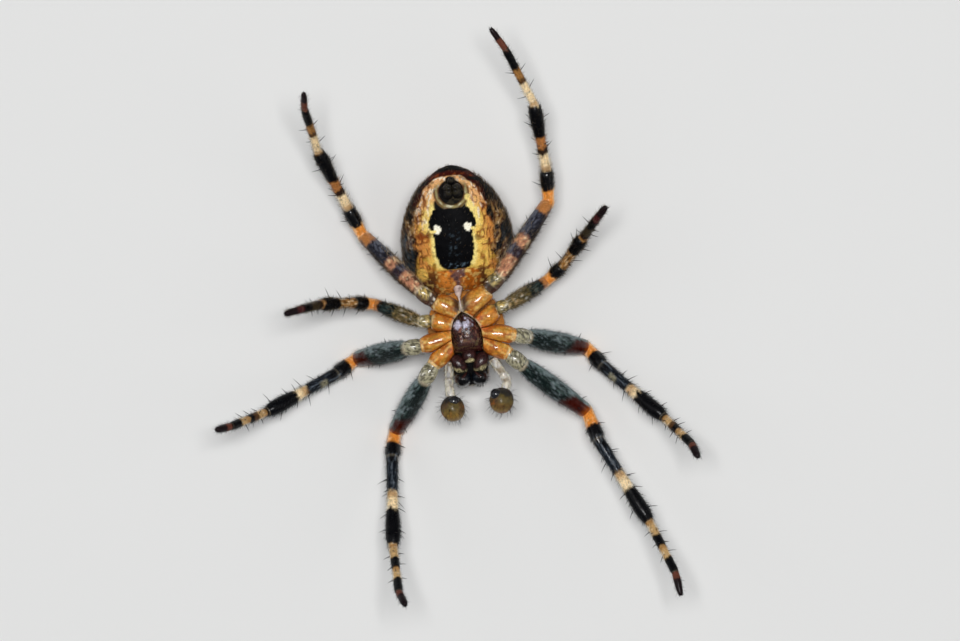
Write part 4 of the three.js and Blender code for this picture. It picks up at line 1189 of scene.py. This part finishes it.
def carapace_point(y, angle, inset=0.0):
    """A point of the carapace. The angle runs round its arch from the spider's right."""
    c = CARAPACE
    ty, tl, tw, th = c["thorax"]
    hy, hl, hw, hh = c["head"]
    t, h = lobe(y, ty, tl, c["thorax_power"]), lobe(y, hy, hl, c["head_power"])
    width = ((tw * t) ** 4 + (hw * h) ** 4) ** 0.25 - inset
    height = ((th * t) ** 4 + (hh * h) ** 4) ** 0.25 - inset
    width, height = np.maximum(width, 0.01), np.maximum(height, 0.01)
    arch = np.abs(np.sin(angle)) ** c["arch_power"]
    y = np.broadcast_to(y, np.broadcast(y, angle).shape)
    return np.stack([width * np.cos(angle), y, c["edge_z"] - height * arch], axis=-1)


def carapace_skin():
    rows, arc = 110, 90
    ty, tl = CARAPACE["thorax"][:2]
    hy, hl = CARAPACE["head"][:2]
    i = np.linspace(0.02, 0.985, rows)
    y = (ty + tl) + ((hy - hl) - (ty + tl)) * (1 - np.cos(math.pi * i)) / 2
    angle = np.linspace(0, math.pi, arc)
    shell = carapace_point(y[:, None], angle[None, :], inset=0.02)
    x, yy = shell[..., 0], shell[..., 1]
    # The grooves between head and thorax, which meet at the pit in the middle of the back.
    groove_y = -2.95 - 0.95 * np.abs(x) / 0.8
    groove = np.exp(-((yy - groove_y) / 0.09) ** 2) * (np.abs(x) < 1.1) * (yy > -4.3)
    pit = np.exp(-((x / 0.06) ** 2 + ((yy + 2.85) / 0.22) ** 2))
    spokes = 0.012 * np.cos(7 * np.arctan2(np.abs(x), -(yy + 2.9)))
    spokes = spokes * (yy > -3.9) * smooth(0.2, 0.5, np.hypot(x, yy + 2.9))
    deep = 0.07 * groove + 0.09 * pit + spokes
    inward = unit(np.array([0, -3.6, CARAPACE["edge_z"] - 0.4]) - shell.reshape(-1, 3))
    shell = shell + inward.reshape(shell.shape) * deep[..., None]
    under = shell[:, 1:-1][:, ::-1].copy()
    under[..., 2] = CARAPACE["edge_z"] - 0.02
    rings = np.concatenate([shell, under], axis=1)
    skin = closed_loft(rings, i)
    p = skin["points"]
    out = np.abs(p[:, 0])
    fine, wide = noise(p, 0.14, 101), noise(p, 0.4, 102)
    paint = Paint("carapace", p)
    paint.lay("tan", smooth(0.1, 0.6, wide) * 0.5)
    head = smooth(-3.7, -4.1, p[:, 1])
    paint.lay("carapace_dark", (1 - smooth(0.1, 0.25, out + 0.05 * fine)) * 0.8)
    edge = smooth(1.05, 1.3, out + 0.08 * fine)
    paint.lay("carapace_dark", edge * 0.85)
    paint.lay("flank_tan", smooth(1.47, 1.52, out) * 0.6)
    paint.lay("carapace_dark", head * smooth(0.2, 0.6, np.abs(noise(p, 0.3, 103))) * .6)
    paint.lay("carapace_dark", smooth(-5.05, -5.4, p[:, 1]) * 0.5)
    rows_deep = np.concatenate([deep, np.zeros((rows, arc - 2))], axis=1).ravel()
    grooves = np.zeros(len(p))
    grooves[:len(rows_deep)] = smooth(0.02, 0.06, rows_deep) * 0.7
    paint.lay("carapace_dark", grooves)
    under = smooth(0.0, 0.6, skin["normals"][:, 2])
    sockets = Paint("socket", p)
    sockets.lay("brown", smooth(-0.2, 0.5, wide) * 0.5)
    sockets.lay("patch", smooth(-3.95, -4.15, p[:, 1]))
    skin["colour"] = paint.lay(sockets.light, under)
    skin["rough"] = 0.42 + 0.5 * under
    centre = np.array([0, -2.9, CARAPACE["edge_z"]])
    skin["flow"] = unit(centre - p) + [0, -0.6, 0]
    skin["hairy"] = smooth(0.3, -0.2, skin["normals"][:, 2]) + 1e-4
    return skin


def carapace_hairs(skin):
    count = 7000
    got = scatter(skin, count)
    tone = mix(COLOURS["hair_pale"], COLOURS["flank_tan"], rng.random(count))
    tone = mix(tone, COLOURS["hair_dark"], smooth(0.75, 0.8, rng.random(count)))
    length = 0.1 + 0.14 * rng.random(count)
    lie = got["flow"] + 0.3 * rng.normal(size=(count, 3))
    return hairs(got["points"], got["normals"], lie, length, 0.011,
                 0.35 + 0.35 * rng.random(count), 0.4, got["uv"], tone)


DOME_POWER = 2.6  # of the curve from a plate's crown to its rim, which is round at 2


def dome(outline, middle, top_z, rows=26, roughen=None):
    """A low dome over a closed outline, with a flat underside."""
    middle = np.array(middle)
    bottom_z = CARAPACE["edge_z"] + 0.03
    t = np.linspace(0.04, 1, rows)
    height = (1 - t ** DOME_POWER) ** (1 / DOME_POWER)
    flat = middle + (outline - middle)[None] * t[:, None, None]
    z = bottom_z + (top_z - bottom_z) * (0.25 + 0.75 * height)
    upper = np.concatenate([flat, np.broadcast_to(z[:, None, None], flat.shape[:2] + (1,))],
                           axis=2)
    lower = upper[-1:].copy()
    lower[..., 2] = bottom_z
    rings = np.concatenate([upper, lower])
    if roughen is not None:
        rings[:-1, :, 2] += roughen(rings[:-1])
    crown = np.array([*middle, rings[0, :, 2].mean() + 0.002])
    v = np.concatenate([0.03 + 0.85 * t, [0.96]])
    return closed_loft(rings, v, crown, np.array([*middle, bottom_z]))


def oval(x, y, half_x, half_y):
    """An outline a little squarer than an ellipse."""
    turn = TAU * np.arange(64) / 64
    c, s = np.cos(turn), np.sin(turn)
    power = 2 / 2.6
    return np.stack([x + half_x * np.sign(c) * np.abs(c) ** power,
                     y + half_y * np.sign(s) * np.abs(s) ** power], axis=1)


def sternum_skin():
    s = STERNUM
    place = np.concatenate([np.linspace(0, 0.999, 40) ** 1.4, [1.0]])
    y = s["rear_y"] - s["length"] * place
    lobes = 1 - 0.03 * np.cos(TAU * (place * 3.6 - 0.1)) * (place > 0.1)
    half = (sternum_half(y) - 0.01) * lobes
    half[0], half[-1] = 0.01, 0.36
    right = np.stack([half, y], axis=1)
    outline = np.vstack([right, (right * [-1, 1])[:0:-1]])
    outline[:, 0] += sternum_middle(outline[:, 1])
    middle = (0, s["rear_y"] - 0.55 * s["length"])

    def roughen(rings):
        p = rings.reshape(-1, 3)
        bumps = 0.012 * fractal(p, 0.16, 111) + 0.02 * np.abs(noise(p, 0.3, 112))
        return bumps.reshape(rings.shape[:2])

    skin = dome(outline, middle, s["top_z"] - 0.03, rows=34, roughen=roughen)
    p = skin["points"]
    fine, wide = noise(p, 0.09, 113), noise(p, 0.35, 114)
    paint = Paint("shield", p)
    paint.lay("maroon", smooth(-0.2, 0.5, wide) * 0.7)
    paint.lay("shield_brown", between(p[:, 1], -3.75, -3.0, 0.15)
              * smooth(0.55, 0.35, np.abs(p[:, 0])) * smooth(-0.05, 0.35, fine) * 0.8)
    paint.lay("olive", smooth(0.2, 0.6, fine) * smooth(-3.2, -3.5, p[:, 1]) * 0.5)
    paint.lay("patch", smooth(0.15, 0.55, -fine) * 0.6)
    keel = np.exp(-((p[:, 0] + 0.15) / 0.04) ** 2) * smooth(-3.3, -3.0, p[:, 1])
    # Painted highlights: pale blue-white patches of gloss on the rear, and a small glint in
    # front.
    for x, y, half, share in ((0.06, -2.95, 0.2, 0.95), (0, -2.8, 0.12, 0.8),
                              (-0.33, -3.04, 0.14, 0.85), (0.02, -3.68, 0.06, 0.6)):
        painted_sheen = reach(*p.T[:2], x, y, half, half) + 0.9 * fine + 0.5 * wide
        paint.lay("shield_highlight", smooth(1.4, 0.3, painted_sheen) * share)
    skin["colour"] = paint.lay("patch", keel * 0.8)
    skin["flow"] = np.tile([0, 1.0, 0], (len(p), 1))
    skin["hairy"] = smooth(0.2, 0.6, skin["normals"][:, 2]) + 1e-4
    return skin


def mouth_skins():
    """The labium in the middle, and an endite on each side, dark with pale front edges."""
    out = {}
    for name, x, y, rx, ry, top in (("labium", 0, -4.34, 0.31, 0.3, 3.41),
                                    ("left", -0.46, -4.64, 0.31, 0.42, 3.43),
                                    ("right", 0.46, -4.64, 0.31, 0.42, 3.43)):
        outline = oval(x, y, rx, ry)
        outline[:, 0] += (outline[:, 1] - y) * 0.3 * np.sign(x)
        skin = dome(outline, (x, y), top)
        p = skin["points"]
        front = (y - p[:, 1]) / ry + 0.14 * noise(p, 0.14, 121)
        paint = Paint("shield", p)
        paint.lay("patch", smooth(0.0, 0.5, noise(p, 0.1, 122)) * 0.5)
        aside = np.abs(p[:, 0])
        bow = -1.4 * aside if name == "labium" else 0.3 * smooth(0.3, 0.6, aside) - 0.3
        tip = smooth(0.2, 0.6, front + bow)
        paint.lay("pale_tip", tip * 0.85)
        skin["colour"] = paint.lay("olive", tip * smooth(0.0, 0.4, noise(p, 0.1, 123)) * 0.6)
        skin["flow"] = np.tile([0, -1.0, 0], (len(p), 1))
        skin["hairy"] = smooth(-0.2, 0.8, front) + 0.02
        out[name] = skin
    return out


def chelicera_skins(side):
    """A jaw: a stout, bowed barrel and the thin curved fang folded in across its tip."""
    flip = np.array([SIDES[side], 1, 1])
    base, tip = np.array(CHELICERA["base"]) * flip, np.array(CHELICERA["tip"]) * flip
    rows, ring_sides = 40, 30
    s = np.linspace(0, 1, rows)
    centres = base + (tip - base) * s[:, None]
    centres[:, 1] -= 0.03 * np.sin(math.pi * s)
    radii = np.interp(s, [0, 0.15, 0.4, 0.6, 0.78, 0.9, 0.97, 1.0],
                      [0.25, 0.29, 0.33, 0.345, 0.33, 0.27, 0.18, 0.1])
    tangents = unit(np.gradient(centres, axis=0))
    rings, around = tube_rings(centres, tangents, radii, ring_sides, (0, -1, 0))
    lumps = 0.008 * noise(rings.reshape(-1, 3), 0.1, 131)
    rings = rings + around * lumps.reshape(rows, ring_sides, 1)
    # The jaws press flat against each other, with a hair's breadth between them.
    x, half_gap = rings[..., 0], 0.02 * SIDES[side]
    rings[..., 0] = np.where(x * SIDES[side] < abs(half_gap), half_gap, x)
    barrel = closed_loft(rings, s)
    p = barrel["points"]
    side_share = smooth(0.5, 0.7, np.abs(p[:, 0]) + 0.05 * noise(p, 0.2, 132))
    paint = Paint("patch", p)
    paint.lay("maroon", side_share * 0.8)
    paint.lay("blue_black", smooth(0.3, 0.1, np.abs(p[:, 0])))
    barrel["colour"] = paint.lay("brown", smooth(2.7, 2.3, p[:, 2]) * 0.5)
    barrel["flow"] = np.tile([0, 0, 1.0], (len(p), 1))
    barrel["hairy"] = smooth(3.4, 2.9, p[:, 2]) * 0.5 + 0.5
    end = np.array(CHELICERA["fang_end"]) * flip
    way = unit(end - tip)
    fang = curved_cone(tip + [0, 0.02, -0.02] - way * 0.03, way, np.array([0, 0.6, -0.8]),
                       0.36, 0.07, rows=14, ring_sides=12, turn=0.9)
    fang = tinted(fang, "maroon", 133, 0.2)
    fang["colour"] = fang["colour"] * 0.5
    return barrel, fang


def palp_arm_skin(side):
    pose = {key: np.array(value) for key, value in PALPS[side].items()}
    joints = np.array([pose["root"], pose["root"] * 0.35 + pose["elbow"] * 0.65, pose["elbow"],
                       pose["elbow"] * 0.45 + pose["bulb"] * 0.55, pose["bulb"]])
    centres, tangents, places = leg_path(joints, step=0.04)
    neck = 0.022 * np.exp(-((places - np.round(places)) / 0.12) ** 2)
    radii = 0.17 - neck * (places > 0.5) + 0.012 * np.sin(math.pi * (places % 1))
    ring_sides = 22
    rings, _ = tube_rings(centres, tangents, radii, ring_sides)
    skin = closed_loft(rings, along_path(centres))
    p = skin["points"]
    place = np.concatenate([np.repeat(places, ring_sides), [0, places[-1]]])
    paint = Paint("palp", p)
    lengthwise = p * [1, 0.5, 1]
    for name, low, high, size, seed, share in (
            ("palp_brown", -0.1, 0.4, 0.11, 141, 0.7),
            ("lilac_grey", 0.0, 0.5, 0.16, 143, 0.45),
            ("brown", 0.3, 0.6, 0.07, 144, 0.5), ("white", 0.15, 0.6, 0.14, 142, 0.6)):
        paint.lay(name, smooth(low, high, noise(lengthwise, size, seed)) * share)
    flow = np.concatenate([np.repeat(tangents, ring_sides, axis=0), tangents[[0, -1]]])
    aside = np.abs(dot(skin["normals"], unit(np.cross(flow, [0, 0, 1.0]))))
    # Painted rim light: the arm's sides turn creamy white, as light shows through its thin
    # edges.
    paint.lay("cream_white", smooth(0.5, 0.95, aside) * 0.9)
    seam = 1 - smooth(0.03, 0.08, np.abs(place - np.round(place)))
    skin["colour"] = paint.lay("palp_brown", seam * 0.35)
    skin["flow"] = flow
    return skin


def bulb_place(side):
    """The middle of a palp's swollen end, and the way it heads."""
    middle = np.array(PALPS[side]["bulb"])
    return middle, unit(middle - np.array(PALPS[side]["elbow"]))


def bulb_skin(side):
    """The swollen end of a young male's palp, with its ridges not yet free."""
    middle, ahead = bulb_place(side)
    rows, ring_sides = 44, 48
    latitude = np.linspace(0.05, math.pi - 0.05, rows)
    centres = middle - ahead * (BULB["half_length"] * np.cos(latitude))[:, None]
    radii = BULB["radius"] * np.sin(latitude) ** 0.9
    rings, around = tube_rings(centres, np.tile(ahead, (rows, 1)), radii, ring_sides)
    flat = rings.reshape(-1, 3)
    ridge = 0.016 * np.cos(5 * np.arctan2(around[..., 2], around[..., 0])
                           + 2.5 * latitude[:, None])
    lumps = 0.012 * noise(flat, 0.2, 151).reshape(rows, ring_sides) + ridge
    rings = rings + around * (lumps * np.sin(latitude)[:, None])[..., None]
    end = ahead * BULB["half_length"]
    skin = closed_loft(rings, latitude / math.pi, middle - end, middle + end)
    p = skin["points"]
    forward = dot(p - middle, ahead) / BULB["half_length"]
    fine = noise(p, 0.12, 152)
    paint = Paint("bulb", p)
    paint.lay("bulb_front", smooth(0.1, 0.8, forward + 0.3 * fine) * 0.8)
    paint.lay("brown", smooth(0.1, 0.5, noise(p, 0.3, 153)) * 0.7)
    paint.lay("rust", smooth(0.3, 0.6, noise(p, 0.2, 155)) * 0.4)
    skin["colour"] = paint.lay("bulb_dark", smooth(-0.1, -0.5, forward + 0.2 * fine) * 0.9)
    skin["flow"] = np.tile(ahead, (len(p), 1))
    return skin


def knob_skin(side):
    """The small dark glossy knob on the bulb, where the arm ends."""
    middle, ahead = bulb_place(side)
    radius = 0.24
    at = middle - ahead * radius + PALPS[side]["knob"]
    return tinted(ball_skin(at, ahead, radius, 20, 24), "bulb_dark", 154, 0.3)


def eye_skin(name, side):
    """The lenses of one eye piece, sunk in the carapace."""
    head_y, head_height = CARAPACE["head"][0], CARAPACE["head"][3]
    heart = np.array([0, head_y, CARAPACE["edge_z"] - head_height / 2])
    lenses = []
    for y, up, radius in EYES[name]:
        surface = carapace_point(np.array(y), np.array(math.radians(up)))
        inward = unit(heart - surface)
        flip = [SIDES[side], 1, 1]
        middle = (surface + inward * EYE_DEPTH * radius) * flip
        outward = -inward * flip
        lens = tinted(ball_skin(middle, -outward, radius, 22, 28, (0.1, 0.2, 1)), "black", 161,
                      0.2)
        glint = smooth(0.0, 0.5, dot(lens["normals"], outward))
        lens["colour"] = mix(lens["colour"], COLOURS["brown"], (1 - glint) * 0.6)
        lenses.append(lens)
    return joined(lenses)


def fuzz(skin, count, length, colour, width=0.011, lift=0.7):
    """Short loose hairs on a small piece."""
    got = scatter(skin, count)
    lie = got["flow"] + 0.35 * rng.normal(size=(count, 3))
    long = length * (0.6 + 0.6 * rng.random(count))
    tone = COLOURS[colour] * (0.7 + 0.5 * rng.random(count))[:, None]
    return hairs(got["points"], got["normals"], lie, long, width,
                 lift + 0.3 * rng.random(count), 0.4, got["uv"], tone)


# ---- Camera, light and floor -------------------------------------------------------------

LOOK_AT = np.array([0.59, -2.95, 3.0])
CAMERA_HEIGHT = 450.0
CAMERA_ROLL = math.radians(-5.9)
FRAME_WIDTH = 39.34  # how much of the scene the picture spans, side to side
SENSOR = 36.0

camera_data = bpy.data.cameras.new("camera")
camera_data.sensor_width = SENSOR
camera_data.lens = SENSOR * CAMERA_HEIGHT / FRAME_WIDTH
camera_data.clip_start = 0.01
camera_data.clip_end = 10
camera = bpy.data.objects.new("camera", camera_data)
camera.location = (LOOK_AT + [0, 0, CAMERA_HEIGHT]) * MM
camera.rotation_euler = (0, 0, CAMERA_ROLL)
bpy.context.scene.collection.objects.link(camera)
bpy.context.scene.camera = camera


def area_light(name, location_mm, size_mm, power, colour=(1, 1, 1)):
    """A light panel that faces the spider and that no camera sees."""
    data = bpy.data.lights.new(name, "AREA")
    data.shape = "RECTANGLE"
    data.size, data.size_y = size_mm[0] * MM, size_mm[1] * MM
    data.energy = power
    data.color = colour
    light = bpy.data.objects.new(name, data)
    place = np.array(location_mm, float)
    light.location = place * MM
    aim = Vector(LOOK_AT - place)
    light.rotation_euler = aim.to_track_quat("-Z", "Y").to_euler()
    light.visible_camera = False
    bpy.context.scene.collection.objects.link(light)


area_light("softbox", (0, 20, 300), (120, 60), 0.66)
area_light("fill_left", (-260, 60, 200), (220, 220), 0.12, (0.95, 0.98, 1.0))
area_light("fill_right", (260, -60, 200), (220, 220), 0.12, (1.0, 0.98, 0.95))

world = bpy.data.worlds.new("studio")
world.use_nodes = True
set_sockets(world.node_tree.nodes["Background"], Color=(0.93, 0.95, 1.0, 1), Strength=0.13)
bpy.context.scene.world = world
bpy.context.scene.view_settings.view_transform = "Standard"

FLOOR_REACH = 2.0  # in metres, from the spider to each side
floor_mesh = bpy.data.meshes.new("floor")
floor_mesh.from_pydata([(x * FLOOR_REACH, y * FLOOR_REACH, 0)
                        for x, y in ((-1, -1), (1, -1), (1, 1), (-1, 1))], [], [(0, 1, 2, 3)])
floor = bpy.data.objects.new("floor", floor_mesh)
bpy.context.scene.collection.objects.link(floor)
paper, paper_shader = new_material("floor_paper")
set_sockets(paper_shader, Base_Color=(0.8, 0.8, 0.79, 1), Roughness=0.9)
floor_mesh.materials.append(paper)

# ---- Assembly ----------------------------------------------------------------------------

for side in SIDES:
    for pair in LEG_BASES:
        name = f"{side}_leg_{pair}"
        skin = leg_skin(side, pair)
        face_place = np.concatenate([skin["place"][skin[faces]].mean(axis=1)
                                     for faces in ("quads", "tris")])
        nodes = [f"{name}_{part}" for part in ("coxa", "femur", "patella", "tibia", "foot")]
        shells = [AMBER_SHELL, RING_SHELL, LEG_SHELL, KNEE_SHELL, LEG_SHELL]
        make_piece(f"{name}_shell", skin, shells, nodes,
                   face_material=np.searchsorted([1.0, 2.0, 2.83, 4.05], face_place))
        make_piece(f"{name}_hairs", leg_hairs(skin, pair), [HAIR])
        make_piece(f"{name}_spines", leg_spines(side, pair), [SPINE])
        make_piece(f"{name}_claws", leg_claws(side, pair), [SPINE])

belly = abdomen_skin()
make_piece("abdomen_skin", belly, [SKIN], ["abdomen"])
make_piece("abdomen_hairs", abdomen_hairs(belly), [HAIR])
make_piece("spinneret_cones", spinneret_skin(), [SPINNERET_SHELL], ["spinnerets"])
make_piece("pedicel_skin", pedicel_skin(), [PALE_SHELL], ["pedicel"])

back = carapace_skin()
make_piece("carapace_shell", back, [BACK_SHELL], ["carapace"])
make_piece("carapace_hairs", carapace_hairs(back), [HAIR])
shield = sternum_skin()
mouth = mouth_skins()
make_piece("sternum_shield", joined([shield, mouth["labium"]]), [SHIELD_SHELL],
           ["sternum"])
make_piece("sternum_hairs", fuzz(shield, 260, 0.16, "palp_brown"), [HAIR])

for side in SIDES:
    endite = mouth[side]
    make_piece(f"{side}_endite_plate", endite, [SHIELD_SHELL], [f"{side}_endite"])
    jaw, fang = chelicera_skins(side)
    make_piece(f"{side}_jaw", joined([jaw, fang]), [BLACK_SHELL], [f"{side}_chelicera"])
    arm = palp_arm_skin(side)
    make_piece(f"{side}_palp_arm", arm, [PALE_SHELL], [f"{side}_palp"])
    bulb = bulb_skin(side)
    make_piece(f"{side}_palp_end", bulb, [BULB_SHELL], [f"{side}_palp_bulb"])
    make_piece(f"{side}_palp_knob", knob_skin(side), [KNOB_SHELL])
    loose = joined([
        fuzz(endite, 260, 0.2, "hair_dark"),
        fuzz(jaw, 260, 0.18, "hair_dark"),
        fuzz(arm, 300, 0.15, "palp_brown"),
        fuzz(bulb, 130, 0.34, "hair_dark", width=0.012, lift=0.9),
    ])
    make_piece(f"{side}_mouth_hairs", loose, [HAIR])
    for name in EYES:
        make_piece(f"{side}_{name}_lens", eye_skin(name, side), [EYE_LENS],
                   [f"{side}_{name}"])
